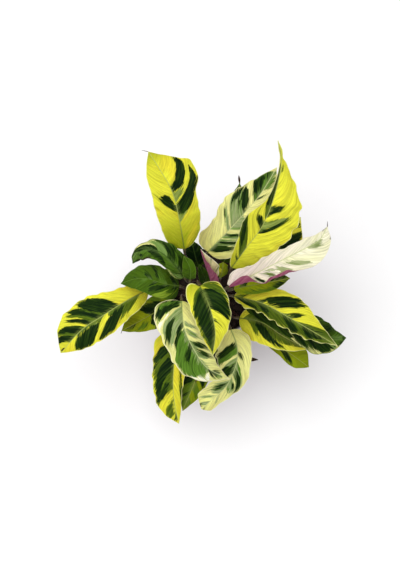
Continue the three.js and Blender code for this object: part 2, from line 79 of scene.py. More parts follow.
# The blades, in metres and degrees, with pairs for the left and the right half. The root is where the
# stalk leaves the soil. The spine is the midrib's course from stalk to tip, and left and right are the
# half-widths at even steps along it. Fold lifts each half at the midrib and curl bends it down towards the
# margin, on the right between the shares of its width in right_bend. Roll lifts the left half and lowers
# the right one. A lobe is how far a half reaches back beside the stalk, and tip_start is where the tip
# starts to narrow. Wave and rim scale the margin's waves and its line. Greening is how much of the tint
# shows along the blade. Thread is how far a dry thread leads on from the tip, and thread_swell its bulge.
BLADES = {
    "back_left": blade(
        "yellow", root=(-0.016, 0.012),
        spine=((-0.041, 0.027, 0.230), (-0.046, 0.054, 0.258), (-0.054, 0.082, 0.282),
               (-0.068, 0.105, 0.294), (-0.082, 0.129, 0.288)),
        left=(0.018, 0.023, 0.0255, 0.021, 0.018),
        right=(0.016, 0.0205, 0.025, 0.0265, 0.027, 0.037, 0.036, 0.027, 0.024),
        fold=(10, 12), curl=(20, 30), wave=(0.3, 0.5), greening=(0.9, 0.5, 0, 0.15, 0.7),
        thread=(-0.008, 0.002, 0.0)),
    "back_middle": blade(
        "cream", root=(-0.001, 0.019),
        spine=((-0.012, 0.029, 0.205), (0.009, 0.046, 0.228), (0.030, 0.065, 0.248), (0.050, 0.087, 0.258),
               (0.071, 0.123, 0.250)),
        left=(0.034, 0.0245, 0.024, 0.0295, 0.0305, 0.026, 0.021, 0.018, 0.018),
        right=(0.024, 0.026, 0.026, 0.017, 0.013),
        fold=(8, 8), curl=(25, 20), lobe=(0.014, 0.000)),
    "back_right": blade(
        "yellow", root=(0.014, 0.004),
        spine=((0.017, 0.007, 0.216), (0.032, 0.022, 0.250), (0.048, 0.038, 0.284), (0.058, 0.058, 0.306),
               (0.066, 0.086, 0.320), (0.069, 0.109, 0.322), (0.066, 0.131, 0.318)),
        left=(0.009, 0.0105, 0.015, 0.0215, 0.0205, 0.0075, 0.0032, 0.002, 0.002),
        right=(0.015, 0.020, 0.026, 0.031, 0.0355, 0.033, 0.0185, 0.0032, 0.0025),
        fold=(20, (0, 4, 8)), curl=(10, (35, 25, 20)), tip_start=0.92, wave=(0.4, 1.2)),
    "back_hidden": blade(
        "green", root=(0.004, 0.018),
        spine=((0.009, 0.025, 0.165), (0.020, 0.055, 0.190), (0.026, 0.086, 0.205), (0.028, 0.117, 0.208)),
        left=(0.018, 0.021, 0.022, 0.015, 0.012), right=(0.017, 0.019, 0.020, 0.014, 0.012),
        thread=(-0.001, 0.010, 0.002), thread_swell=1.6),
    # A low dark green leaf fills the deep shade below back_left's base and hides the pot's rim; its dark
    # colour is in part painted shade.
    "back_shaded": blade(
        "dark", root=(-0.020, 0.019),
        spine=((-0.024, 0.024, 0.143), (-0.028, 0.034, 0.158), (-0.031, 0.045, 0.164),
               (-0.033, 0.055, 0.162)),
        left=(0.012, 0.015, 0.014, 0.011, 0.008), right=(0.012, 0.015, 0.013, 0.010, 0.007),
        fold=(15, 15), curl=(20, 20)),
    "right_shaded": blade(
        "yellow", root=(0.019, 0.010),
        spine=((0.029, 0.007, 0.178), (0.050, 0.017, 0.200), (0.076, 0.035, 0.218), (0.101, 0.067, 0.229)),
        left=(0.014, 0.018, 0.021, 0.018, 0.015), right=(0.015, 0.019, 0.025, 0.023, 0.018)),
    "right_cream": blade(
        "ivory", root=(0.006, -0.013),
        spine=((0.013, -0.022, 0.243), (0.039, -0.012, 0.259), (0.060, -0.003, 0.270),
               (0.091, 0.011, 0.281), (0.114, 0.024, 0.283), (0.125, 0.041, 0.279)),
        left=(0.012, 0.015, 0.011, 0.0125, 0.0125, 0.011, 0.0115, 0.012, 0.012),
        right=(0.010, 0.0145, 0.0195, 0.025, 0.0235, 0.0265, 0.026, 0.024, 0.024, 0.0225, 0.021),
        fold=(10, 5), curl=(10, (-165, -165, -160, -98, -132, -145, -88, -24, 0, 0, 0)),
        lobe=(0.008, 0.000),
        right_bend=((0.1, 0.1, 0.15, 0.35, 0.5, 0.5, 0.5, 0.5, 0.5, 0.5, 0.5),
                    (0.7, 0.7, 0.7, 0.85, 0.95, 0.95, 0.95, 1, 1, 1, 1)),
        wave=(1.2, 0.5), greening=(1, 0.85, 0.45, 0.15, 0.1), thread=(0.0, 0.006, 0.002)),
    "right_olive": blade(
        "olive", root=(0.020, -0.003),
        spine=((0.020, -0.018, 0.208), (0.039, -0.017, 0.222), (0.060, -0.014, 0.228),
               (0.087, -0.008, 0.223)),
        left=(0.008, 0.014, 0.016, 0.014, 0.012), right=(0.007, 0.010, 0.012, 0.010, 0.008),
        fold=(10, 10), curl=(20, 20), greening=(0.3, 0, 0, 0.1, 0.7)),
    "right_upper": blade(
        "yellow", root=(0.014, -0.015),
        spine=((0.021, -0.024, 0.188), (0.054, -0.036, 0.208), (0.088, -0.055, 0.210),
               (0.119, -0.071, 0.198), (0.149, -0.085, 0.180)),
        left=(0.012, 0.0215, 0.027, 0.014, 0.010), right=(0.012, 0.0135, 0.017, 0.014, 0.009),
        fold=(5, 5), curl=(15, 50), roll=(10, 20, 10), wave=(0.5, 1.1), rim=(1, 2)),
    "right_far": blade(
        "dark", root=(0.023, -0.010),
        spine=((0.037, -0.022, 0.150), (0.073, -0.046, 0.168), (0.110, -0.064, 0.172),
               (0.143, -0.073, 0.164), (0.165, -0.072, 0.155)),
        left=(0.019, 0.023, 0.024, 0.022, 0.023), right=(0.013, 0.014, 0.017, 0.026, 0.026)),
    "right_lower": blade(
        "yellow", root=(0.017, -0.021),
        spine=((0.030, -0.044, 0.140), (0.058, -0.052, 0.152), (0.087, -0.071, 0.152),
               (0.118, -0.085, 0.142)),
        left=(0.016, 0.019, 0.024, 0.022, 0.020), right=(0.017, 0.0265, 0.0235, 0.015, 0.014)),
    "right_lowest": blade(
        "olive", root=(0.022, -0.029),
        spine=((0.040, -0.048, 0.124), (0.071, -0.073, 0.128), (0.097, -0.089, 0.122),
               (0.123, -0.105, 0.106)),
        left=(0.013, 0.017, 0.021, 0.024, 0.026), right=(0.005, 0.007, 0.009, 0.014, 0.018),
        fold=(8, 8), curl=(20, 20)),
    "front_right": blade(
        "cream", root=(0.008, -0.023),
        spine=((0.018, -0.061, 0.150), (0.025, -0.082, 0.158), (0.025, -0.102, 0.160),
               (0.018, -0.122, 0.152), (0.010, -0.135, 0.142), (-0.005, -0.148, 0.132),
               (-0.020, -0.161, 0.121)),
        left=(0.018, 0.0185, 0.018, 0.020, 0.013, 0.0105, 0.010),
        right=(0.017, 0.024, 0.028, 0.018, 0.018, 0.018, 0.017),
        fold=(8, 8), curl=(20, 20), lobe=(0.000, 0.008), tip_start=0.92, wave=(0.6, 0.7), rim=(1.3, 1.3)),
    "front_cream": blade(
        "cream", root=(-0.014, -0.016),
        spine=((-0.044, -0.036, 0.222), (-0.043, -0.053, 0.230), (-0.040, -0.072, 0.228),
               (-0.029, -0.094, 0.215), (-0.013, -0.114, 0.196), (0.015, -0.126, 0.174)),
        left=(0.014, 0.020, 0.019, 0.015, 0.006),
        right=(0.036, 0.036, 0.031, 0.0285, 0.0295, 0.027, 0.018, 0.014, 0.010),
        fold=(8, 8), curl=(20, 30), lobe=(0.000, 0.018), wave=(0.5, 0.7), rim=(1, 2)),
    "front_top": blade(
        "yellow", root=(-0.008, -0.009),
        spine=((-0.022, -0.024, 0.255), (-0.014, -0.042, 0.264), (-0.007, -0.062, 0.258),
               (-0.004, -0.080, 0.240), (-0.007, -0.101, 0.216)),
        left=(0.022, 0.024, 0.020, 0.009, 0.008), right=(0.018, 0.022, 0.020, 0.016, 0.009),
        fold=(12, 12), curl=(25, 25), lobe=(0.009, 0.030)),
    "front_low_yellow": blade(
        "yellow", root=(-0.018, -0.025),
        spine=((-0.051, -0.066, 0.135), (-0.055, -0.099, 0.140), (-0.057, -0.130, 0.128),
               (-0.055, -0.155, 0.112), (-0.050, -0.179, 0.098)),
        left=(0.018, 0.020, 0.014, 0.010, 0.011), right=(0.031, 0.028, 0.027, 0.024, 0.025),
        lobe=(0, 0.014)),
    "front_low_green": blade(
        "olive", root=(-0.005, -0.031),
        spine=((-0.009, -0.066, 0.126), (-0.017, -0.095, 0.128), (-0.028, -0.124, 0.118),
               (-0.045, -0.162, 0.092)),
        left=(0.021, 0.025, 0.017, 0.013, 0.011), right=(0.014, 0.018, 0.020, 0.016, 0.014)),
    "left_long": blade(
        "yellow", root=(-0.030, 0.001),
        spine=((-0.089, -0.013, 0.172), (-0.116, -0.030, 0.184), (-0.144, -0.048, 0.183),
               (-0.171, -0.064, 0.172), (-0.200, -0.091, 0.152)),
        left=(0.013, 0.020, 0.026, 0.024, 0.022), right=(0.016, 0.020, 0.032, 0.032, 0.044)),
    "left_low": blade(
        "olive", root=(-0.027, -0.019),
        spine=((-0.058, -0.024, 0.130), (-0.081, -0.037, 0.140), (-0.103, -0.049, 0.137),
               (-0.125, -0.059, 0.126)),
        left=(0.014, 0.019, 0.019, 0.012, 0.010), right=(0.019, 0.021, 0.021, 0.017, 0.015),
        thread=(-0.001, -0.004, 0.0)),
    "left_green": blade(
        "green", root=(-0.025, -0.007),
        spine=((-0.048, -0.012, 0.194), (-0.065, -0.012, 0.208), (-0.087, -0.006, 0.210),
               (-0.104, -0.005, 0.202), (-0.121, -0.008, 0.189)),
        left=(0.018, 0.019, 0.018, 0.013, 0.012), right=(0.016, 0.0185, 0.019, 0.014, 0.011)),
    "left_arching": blade(
        "dark", root=(-0.022, 0.008),
        spine=((-0.041, -0.005, 0.216), (-0.052, 0.006, 0.232), (-0.066, 0.018, 0.242),
               (-0.082, 0.025, 0.238), (-0.098, 0.023, 0.224), (-0.105, 0.014, 0.207)),
        left=(0.012, 0.011, 0.012, 0.012, 0.014), right=(0.013, 0.017, 0.014, 0.008, 0.0085),
        wave=(0.7, 0.7)),
    "inner_folded": blade(
        "green", root=(-0.014, 0.003),
        spine=((-0.034, -0.009, 0.222), (-0.034, 0.002, 0.236), (-0.041, 0.015, 0.242)),
        left=(0.007, 0.009, 0.010, 0.008, 0.007), right=(0.007, 0.007, 0.007, 0.006, 0.005),
        fold=(20, 20), curl=(15, 15)),
    # A low dark leaf in the plant's shaded middle; its dark colour is in part painted shade.
    "inner_shaded": blade(
        "dark", root=(-0.008, 0.004),
        spine=((-0.011, -0.003, 0.145), (-0.016, 0.005, 0.162), (-0.020, 0.013, 0.170),
               (-0.023, 0.021, 0.170)),
        left=(0.008, 0.008, 0.008, 0.006, 0.005), right=(0.008, 0.008, 0.008, 0.006, 0.005),
        fold=(20, 20), curl=(20, 20)),
    "inner_rolled": blade(
        "purple", root=(-0.001, 0.000),
        spine=((-0.007, -0.009, 0.188), (-0.010, -0.002, 0.208), (-0.014, 0.005, 0.226),
               (-0.018, 0.013, 0.241), (-0.021, 0.021, 0.252)),
        left=(0.010, 0.013, 0.009, 0.005, 0.004), right=(0.006, 0.010, 0.015, 0.010, 0.006),
        fold=((100, 100, 90), 30), curl=(-60, 30)),
    "inner_bud": blade(
        "olive", root=(0.006, 0.001),
        spine=((0.004, 0.003, 0.172), (0.006, 0.009, 0.192), (0.007, 0.016, 0.204)),
        left=(0.005, 0.008, 0.009, 0.008, 0.006), right=(0.005, 0.007, 0.008, 0.008, 0.007),
        fold=(-10, -10), curl=(40, 40)),
    "dry_tip": blade(
        "dry", root=(0.013, -0.033),
        spine=((0.024, -0.076, 0.118), (0.039, -0.094, 0.121), (0.055, -0.096, 0.113)),
        left=(0.002, 0.003, 0.004, 0.003, 0.003), right=(0.002, 0.003, 0.004, 0.003, 0.003),
        fold=(30, 30), curl=(20, 20), wave=(0.2, 0.2)),
}

# The leaf pattern, with a few bars of painted shade that are marked where they stand. Each bar has its
# half, or both, its colour and sections from the midrib outwards: how far out each is, and where the bar
# starts and ends there along the veins, all in percent.
PATTERNS = {
    "back_left": (
        ("left", "dark", (5, 38, 44), (20, 37, 50), (38, 37, 50), (52, 37, 46), (68, 38, 41)),
        ("right", "grey", (0, 46, 57), (22, 46, 53), (42, 46, 49)),
        ("right", "dark", (3, 56, 62), (22, 53, 61), (44, 51, 63), (62, 52, 65), (78, 57, 66),
         (97, 61, 66)),
        ("right", "grey", (0, 27, 37), (25, 28, 34), (50, 28, 31)),
        ("right", "dark", (3, 35, 45), (28, 31, 44), (55, 28, 44), (76, 27, 47), (84, 27, 49),
         (90, 27, 41), (96, 28, 34)),
    ),
    "back_middle": (
        ("left", "mid", (0, 62, 94), (40, 61, 93), (80, 60, 88), (100, 60, 80)),
        ("left", "dark", (10, 62, 72), (45, 61, 80), (90, 59, 78)),
        ("left", "dark", (20, 82, 90), (60, 82, 90), (90, 80, 86)),
        ("left", "grey", (55, 78, 83), (85, 74, 80)),
        ("left", "grey", (2, 33, 52), (50, 32, 49), (94, 32, 44)),
        ("left", "dark", (7, 50, 55), (30, 47, 56), (60, 45, 54), (82, 45, 49)),
        ("left", "dark", (58, 34, 38), (76, 33, 45), (96, 33, 45)),
        ("left", "dark", (30, 44, 46), (60, 42, 46)),
        ("left", "grey", (3, 27, 31), (40, 25, 30), (74, 22, 26)),
        ("left", "dark", (45, 24, 26), (75, 22, 24)),
        ("right", "grey", (2, 30, 48), (25, 30, 42), (45, 30, 36)),
        ("right", "grey", (2, 19, 26), (40, 18, 25), (70, 14, 19)),
        ("right", "grey", (2, 10, 18), (50, 8, 17), (90, 5, 12)),
        ("right", "dark", (4, 22, 25), (50, 21, 24), (80, 16, 19)),
        ("right", "dark", (8, 13, 15), (50, 11, 14), (90, 8, 11)),
        ("right", "dark", (4, 2, 10), (40, 0, 9), (80, 0, 5)),
        ("right", "dark", (4, 64, 66), (20, 64, 66)),
        ("right", "mid", (0, 74, 100), (60, 70, 100)),
    ),
    "back_right": (
        ("left", "mid", (0, 11, 22), (40, 8, 24), (85, 4, 25), (100, 2, 24)),
        ("left", "dark", (38, 10, 14), (60, 8, 20), (80, 8, 24), (96, 12, 24)),
        ("left", "dark", (2, 8, 10), (30, 4, 6), (55, 0, 2)),
        ("left", "grey", (0, 41, 48), (14, 42, 47)),
        ("left", "dark", (6, 41, 46), (24, 40, 46), (40, 39, 43), (53, 38, 40)),
        ("left", "mid", (0, 49, 64), (30, 50, 58), (60, 46, 52)),
        ("left", "dark", (2, 60, 84), (26, 54, 80), (50, 48, 74), (75, 44, 64), (100, 40, 56)),
        ("left", "dark", (0, 86, 90), (60, 83, 88), (100, 82, 86)),
        ("right", "grey", (0, 39, 48), (20, 41, 47), (46, 40, 45), (66, 39, 41)),
        ("right", "dark", (4, 38, 41), (40, 38, 42), (68, 38, 41)),
        ("right", "dark", (3, 51, 58), (18, 52, 57), (38, 50, 53)),
        ("right", "mid", (8, 78, 81), (25, 75, 79), (40, 74, 76)),
    ),
    "back_hidden": (
        ("both", "dark", (0, 12, 22), (80, 10, 20)),
        ("both", "dark", (0, 34, 46), (80, 32, 42)),
        ("both", "dark", (0, 60, 100), (100, 60, 100)),
    ),
    "right_shaded": (
        ("left", "dark", (0, 6, 100), (100, 6, 100)),
        ("right", "dark", (0, 6, 34), (100, 4, 30)),
        ("right", "dark", (6, 40, 75), (60, 38, 75), (96, 38, 73)),
        ("right", "dark", (6, 84, 92), (40, 84, 92), (70, 82, 88)),
    ),
    "right_cream": (
        ("left", "grey", (0, 76, 84), (8, 77, 83), (14, 79, 81)),
        ("right", "grey", (0, 74, 86), (20, 74, 85), (38, 76, 80)),
        ("right", "mid", (12, 76, 82), (28, 76, 81)),
        ("right", "grey", (20, 48, 55), (45, 49, 56), (65, 50, 56), (76, 50, 53)),
        ("right", "grey", (18, 34, 43), (38, 38, 44), (60, 32, 43), (76, 28, 34)),
        ("right", "mid", (16, 28, 33), (34, 28, 33), (52, 26, 30)),
        ("right", "pale", (26, 35, 40), (44, 36, 41), (56, 34, 38)),
        ("right", "dark", (15, 21, 23), (50, 17, 20), (80, 12, 16)),
        ("right", "mid", (24, 17, 19), (60, 12, 14), (90, 6, 9)),
        ("left", "brown", (93, 88, 100), (100, 86, 100)),
        ("right", "brown", (90, 80, 84), (100, 78, 88)),
    ),
    "right_upper": (
        ("left", "mid", (4, 0, 8), (45, 0, 6)),
        ("left", "dark", (6, 21, 26), (26, 22, 25), (50, 20, 22)),
        ("left", "dark", (12, 29, 37), (26, 24, 38), (55, 21, 40), (78, 22, 37), (92, 25, 34)),
        ("left", "grey", (0, 43, 52), (14, 46, 51)),
        ("left", "dark", (10, 47, 52), (30, 46, 52), (47, 47, 49)),
        ("left", "mid", (0, 56, 100), (12, 60, 100), (50, 64, 100), (100, 65, 100)),
        ("left", "pale", (48, 67, 71), (70, 66, 74), (96, 66, 72)),
        ("left", "dark", (2, 60, 72), (10, 64, 76), (22, 72, 82)),
        ("right", "mid", (0, 0, 100), (70, 0, 100), (90, 3, 100)),
        ("right", "dark", (2, 0, 10), (45, 0, 12), (80, 0, 8)),
        ("right", "dark", (2, 21, 29), (35, 19, 27), (66, 14, 20)),
        ("right", "dark", (2, 43, 53), (30, 42, 53), (60, 40, 50), (85, 36, 42)),
        ("right", "dark", (2, 62, 88), (25, 60, 84), (48, 58, 72), (66, 56, 62)),
        ("right", "grey", (2, 54, 61), (40, 53, 58), (66, 50, 54)),
        ("right", "grey", (2, 32, 40), (40, 30, 36), (70, 26, 31)),
        ("right", "pale", (60, 68, 73), (80, 66, 70), (100, 62, 66)),
    ),
    "right_lower": (
        ("right", "mid", (0, 9, 100), (16, 10, 95), (30, 14, 90), (42, 22, 80), (54, 36, 54)),
        ("right", "dark", (4, 22, 33), (24, 20, 38), (46, 23, 46), (64, 28, 53), (78, 38, 52)),
        ("right", "mid", (20, 12, 20), (48, 12, 21), (66, 14, 22)),
        ("left", "mid", (0, 4, 100), (60, 4, 96), (96, 6, 92)),
        # The two dark bars beside the midrib on the left half are in part painted shade, where
        # right_upper's shadow falls.
        ("left", "dark", (2, 18, 30), (50, 16, 30), (80, 16, 26)),
        ("left", "dark", (2, 42, 60), (50, 40, 58), (80, 40, 52)),
        ("left", "dark", (2, 72, 88), (60, 70, 84), (90, 70, 80)),
    ),
    "right_far": (
        ("both", "dark", (0, 8, 24), (90, 6, 20)),
        ("left", "dark", (0, 38, 56), (90, 36, 50)),
        ("right", "dark", (0, 40, 52), (50, 38, 50), (90, 36, 46)),
        ("left", "dark", (0, 64, 78), (60, 62, 76), (94, 62, 72)),
        ("right", "dark", (0, 62, 78), (50, 60, 74), (94, 58, 70)),
        ("left", "mid", (0, 84, 96), (90, 82, 94)),
        ("right", "mid", (0, 84, 96), (70, 82, 94)),
        ("right", "grey", (60, 76, 79), (92, 74, 78)),
        ("left", "grey", (30, 70, 73), (80, 67, 71)),
        ("right", "pale", (82, 34, 84), (100, 26, 90)),
    ),
    "right_olive": (
        ("left", "dark", (5, 10, 24), (80, 8, 20)),
        ("right", "mid", (60, 0, 100), (80, 0, 100), (100, 0, 100)),
        ("right", "dark", (34, 62, 100), (60, 54, 100), (100, 50, 100)),
        ("left", "dark", (5, 48, 100), (80, 42, 100)),
    ),
    "front_right": (
        ("left", "grey", (0, 50, 63), (25, 50, 61), (50, 48, 57), (70, 45, 50)),
        ("left", "dark", (18, 51, 54), (42, 48, 52), (60, 46, 49)),
        ("left", "mid", (16, 58, 62), (46, 54, 57)),
        ("left", "grey", (3, 34, 49), (50, 33, 46), (92, 33, 42)),
        ("left", "dark", (12, 40, 47), (50, 37, 45), (88, 36, 42)),
        ("left", "mid", (10, 34, 38), (40, 33, 37), (64, 33, 36)),
        ("left", "dark", (4, 24, 28), (20, 22, 28), (36, 21, 25)),
        ("left", "pale", (10, 25, 26), (24, 24, 25)),
        ("right", "mid", (2, 16, 27), (50, 14, 25), (100, 12, 22)),
        ("right", "grey", (2, 20, 26), (40, 18, 23), (80, 18, 22)),
        ("right", "dark", (8, 12, 18), (35, 10, 18), (60, 6, 18), (92, 6, 15)),
        ("right", "grey", (0, 29, 48), (45, 30, 46), (70, 30, 40)),
        ("right", "dark", (8, 36, 48), (30, 36, 49), (55, 32, 46), (78, 29, 41), (95, 29, 36)),
        ("right", "grey", (4, 54, 74), (35, 53, 72), (60, 52, 66)),
        ("right", "dark", (14, 57, 67), (32, 57, 69), (50, 57, 66)),
        ("right", "grey", (14, 77, 80), (40, 76, 79), (70, 74, 77)),
        ("right", "grey", (4, 87, 93), (60, 86, 92)),
        ("right", "dark", (50, 88, 96), (100, 86, 97)),
        ("left", "grey", (20, 72, 75), (60, 68, 72)),
        ("left", "dark", (30, 92, 97), (90, 90, 96)),
    ),
    "front_cream": (
        ("left", "grey", (3, 46, 57), (26, 48, 57), (50, 45, 54), (74, 44, 50)),
        ("left", "dark", (20, 46, 53), (48, 44, 52), (77, 44, 51)),
        ("left", "grey", (5, 38, 46), (30, 36, 44), (60, 34, 40)),
        ("left", "dark", (14, 38, 43), (50, 34, 41), (76, 33, 38)),
        ("left", "grey", (8, 26, 31), (40, 24, 31), (62, 22, 28)),
        ("left", "grey", (12, 18, 22), (45, 15, 19), (70, 12, 15)),
        ("left", "grey", (0, 58, 74), (10, 60, 72), (16, 62, 68)),
        ("left", "dark", (2, 78, 86), (18, 77, 87), (34, 76, 82)),
        ("right", "grey", (0, 26, 76), (20, 26, 72), (40, 48, 66), (70, 50, 60)),
        ("right", "grey", (0, 6, 23), (50, 6, 22), (86, 4, 18)),
        ("right", "mid", (8, 24, 60), (50, 24, 60), (84, 26, 50), (97, 30, 42)),
        ("right", "pale", (24, 32, 34), (56, 30, 32), (82, 31, 34)),
        ("right", "grey", (10, 49, 54), (40, 50, 54), (60, 50, 52)),
        ("right", "dark", (3, 21, 25), (30, 21, 26), (62, 22, 25)),
        ("right", "dark", (3, 40, 45), (26, 40, 47), (48, 41, 46)),
        ("right", "mid", (2, 60, 70), (30, 58, 68), (54, 54, 63)),
        ("right", "pale", (52, 49, 52), (76, 46, 51), (100, 42, 49)),
        ("right", "pale", (46, 57, 60), (76, 53, 58), (100, 48, 56)),
        ("right", "pale", (24, 70, 72), (55, 64, 68), (90, 56, 62)),
        ("right", "dark", (4, 73, 83), (24, 73, 83), (40, 72, 78)),
        ("right", "mid", (3, 80, 90), (36, 78, 88), (60, 73, 82)),
        ("right", "dark", (30, 10, 13), (56, 9, 16), (84, 8, 16)),
        ("right", "pale", (30, 14, 16), (60, 18, 20), (80, 18, 21)),
        ("right", "mid", (8, 0, 5), (45, -4, 2), (70, -8, 0), (94, -14, -3)),
        ("right", "dark", (16, 0, 4), (50, -3, 1), (75, -7, -1), (92, -12, -5)),
        ("right", "pale", (45, 3, 5), (70, 1, 4), (92, -2, 2)),
        ("right", "dark", (94, 35, 40), (100, 34, 41)),
    ),
    "front_top": (
        ("left", "dark", (5, 6, 31), (40, 2, 31), (80, 4, 30), (96, 10, 26)),
        ("left", "mid", (10, 0, 5), (40, -6, 4), (97, -14, 8)),
        ("left", "dark", (4, 44, 47), (14, 42, 47), (22, 43, 46)),
        ("right", "mid", (0, 0, 100), (40, 0, 98), (60, 0, 82), (80, 2, 66), (94, 8, 34)),
        ("right", "dark", (0, 4, 98), (28, 4, 92), (48, 5, 76), (68, 6, 50), (90, 6, 22)),
        ("right", "grey", (0, 28, 58), (6, 30, 54), (10, 36, 48)),
        ("right", "grey", (84, 30, 60), (96, 14, 54)),
    ),
    "front_low_yellow": (
        ("left", "mid", (52, 24, 38), (75, 28, 48), (100, 34, 58)),
        ("left", "dark", (54, 25, 30), (72, 29, 37), (90, 37, 44)),
        ("right", "mid", (0, 6, 58), (45, 6, 57), (75, 6, 52), (92, 10, 54)),
        ("right", "dark", (3, 25, 36), (30, 19, 38), (56, 20, 44), (76, 24, 53), (95, 44, 56)),
        ("right", "dark", (24, 42, 56), (60, 46, 56), (80, 48, 53)),
        ("right", "dark", (36, 4, 14), (70, 0, 12), (98, 2, 16)),
        ("right", "dark", (6, 56, 58), (25, 55, 58), (42, 54, 57)),
        ("right", "pale", (8, 40, 48), (24, 42, 50), (36, 44, 48)),
        ("right", "mid", (8, 68, 86), (60, 68, 84), (96, 72, 82)),
        ("right", "dark", (4, 86, 95), (16, 88, 95), (30, 90, 94)),
    ),
    "front_low_green": (
        ("both", "dark", (4, 8, 24), (90, 6, 20)),
        ("right", "mid", (0, 30, 100), (100, 20, 100)),
        ("left", "dark", (4, 28, 50), (50, 26, 46), (90, 22, 40)),
        ("right", "dark", (14, 38, 56), (56, 32, 53), (94, 26, 46)),
        ("right", "dark", (10, 70, 74), (46, 68, 72), (80, 66, 69)),
        ("left", "mid", (0, 56, 68), (90, 48, 60)),
        ("left", "mid", (0, 78, 94), (80, 72, 88)),
        ("left", "brown", (0, 48, 58), (10, 49, 56)),
    ),
    "left_long": (
        ("left", "mid", (0, 8, 40), (20, 7, 38), (46, 8, 22), (72, 10, 20)),
        ("left", "dark", (14, 23, 35), (40, 21, 39), (90, 20, 37), (98, 24, 31)),
        ("left", "mid", (0, 44, 75), (20, 46, 77)),
        ("left", "dark", (10, 60, 76), (22, 47, 77), (45, 45, 77), (90, 44, 74), (98, 50, 66)),
        ("left", "grey", (6, 50, 57), (30, 49, 56), (62, 50, 55)),
        ("right", "mid", (0, 36, 60), (50, 43, 56), (80, 44, 54)),
        ("right", "dark", (4, 29, 44), (30, 26, 45), (60, 23, 45), (80, 23, 42), (94, 30, 38)),
        ("right", "dark", (6, 46, 52), (45, 47, 53), (75, 44, 51), (95, 44, 47)),
        ("right", "dark", (3, 57, 62), (40, 57, 62), (70, 58, 61)),
        ("right", "mid", (0, 65, 79), (60, 66, 79), (90, 74, 80)),
        ("right", "dark", (3, 67, 75), (40, 66, 75), (72, 69, 76), (96, 75, 79)),
        ("right", "dark", (3, 79, 86), (50, 79, 88), (100, 81, 90)),
        ("right", "brown", (2, 93, 99), (18, 94, 98), (34, 95, 97)),
    ),
    "left_low": (
        ("left", "dark", (3, 70, 93), (18, 69, 92), (38, 70, 80)),
        ("left", "dark", (4, 10, 42), (40, 8, 40), (56, 8, 36), (90, 6, 22)),
        ("right", "dark", (3, 16, 42), (30, 6, 43), (56, 8, 42), (72, 14, 38)),
        ("right", "mid", (46, 0, 14), (100, 0, 14)),
        ("left", "mid", (30, 44, 56), (80, 40, 60)),
    ),
    "left_green": (
        ("left", "dark", (2, 16, 24), (26, 20, 32), (50, 20, 34), (74, 23, 28)),
        ("left", "dark", (4, 35, 42), (24, 35, 42), (44, 36, 40)),
        ("left", "pale", (54, 0, 15), (80, 0, 17), (100, 0, 13)),
        ("left", "dark", (2, 4, 12), (40, 4, 10)),
        ("right", "dark", (4, 44, 50), (30, 44, 52), (48, 44, 47)),
        ("right", "dark", (6, 67, 71), (26, 68, 70)),
        # On the right half, the dark bar at the base and the dark bar along the crease where
        # left_arching's shadow falls are painted shade.
        ("right", "dark", (2, 2, 10), (60, 0, 10)),
        ("right", "dark", (20, 33, 36), (60, 28, 33), (98, 22, 30)),
        ("left", "mid", (3, 50, 58), (30, 50, 56), (60, 48, 52)),
        ("right", "mid", (2, 22, 34), (50, 20, 31), (84, 18, 26)),
    ),
    "left_arching": (
        ("left", "mid", (0, 8, 100), (40, 4, 90), (80, 2, 70), (100, 2, 50)),
        ("right", "mid", (0, 0, 24), (50, 0, 24), (100, 0, 22)),
        ("right", "grey", (0, 36, 49), (40, 33, 46), (80, 31, 46)),
        ("left", "grey", (0, 36, 49), (30, 20, 33), (60, 2, 14)),
        ("left", "pale", (0, 39, 46), (30, 24, 30), (56, 6, 12)),
        ("right", "dark", (14, 21, 34), (45, 21, 33), (72, 17, 30), (92, 15, 26)),
        ("right", "dark", (4, 4, 17), (50, 4, 15), (84, 2, 13)),
        ("right", "grey", (20, 18, 20), (50, 17, 19), (80, 14, 17)),
        ("right", "dark", (0, 53, 66), (30, 57, 69), (60, 62, 72)),
        ("right", "pale", (4, 41, 47), (34, 40, 48), (64, 38, 54), (90, 34, 66), (100, 28, 74)),
        ("left", "dark", (0, 51, 64), (28, 37, 57), (60, 20, 42), (82, 10, 28)),
        ("left", "pale", (90, -16, 30), (100, -20, 30)),
        ("left", "brown", (84, 34, 84), (100, 26, 88)),
        ("left", "grey", (20, -6, 4), (70, -16, 0)),
        ("left", "dark", (16, 74, 80), (40, 64, 71), (60, 54, 62)),
        ("right", "grey", (0, 76, 100), (40, 76, 92), (70, 74, 86)),
    ),
    "right_lowest": (
        ("right", "dark", (4, 44, 63), (45, 46, 63), (78, 44, 60)),
        ("left", "dark", (4, 30, 56), (60, 20, 50)),
    ),
    "inner_rolled": (
        ("right", "grey", (60, 20, 26), (100, 20, 30)),
        ("right", "grey", (60, 52, 56), (100, 50, 56)),
    ),
    "inner_bud": (
        ("left", "pale", (6, 34, 64), (36, 30, 60)),
        ("right", "mid", (60, 0, 60), (100, 0, 60)),
    ),
}

# How the fine blades are laid out. Rows lie this far apart along the midrib and gather at the base, and
# columns gather at the midrib. The midrib and the bend across a blade are worked out in small steps.
ROW_SPACING = 1.15 * MM
LEAST_ROWS = 24
BASE_GATHERING = 1.25
HALF_COLUMNS = 24
MIDRIB_GATHERING = 1.3
SPINE_SAMPLES = 400
FOLD_STEPS = 24

# The blade's outline: a round base and a tip that narrows in a curve of this power. The least half-width
# is the neck's at the base and the tip's from this share of the length on. Lobes fade out along the blade.
BASE_ROUNDING = 0.16
TIP_POWER = 1.7
NECK_HALF_WIDTH = 1.1 * MM
TIP_HALF_WIDTH = 0.55 * MM
NECK_SHARE = 0.25
LOBE_REACH = 0.22

# The margin's waves carry smaller and shorter ones. They swell the outline and lift the margin, and fade
# inwards with these powers.
SECOND_WAVE = 0.4
SECOND_SPACING = 0.57
SWELL_POWER = 3
LIFT_POWER = 2.5

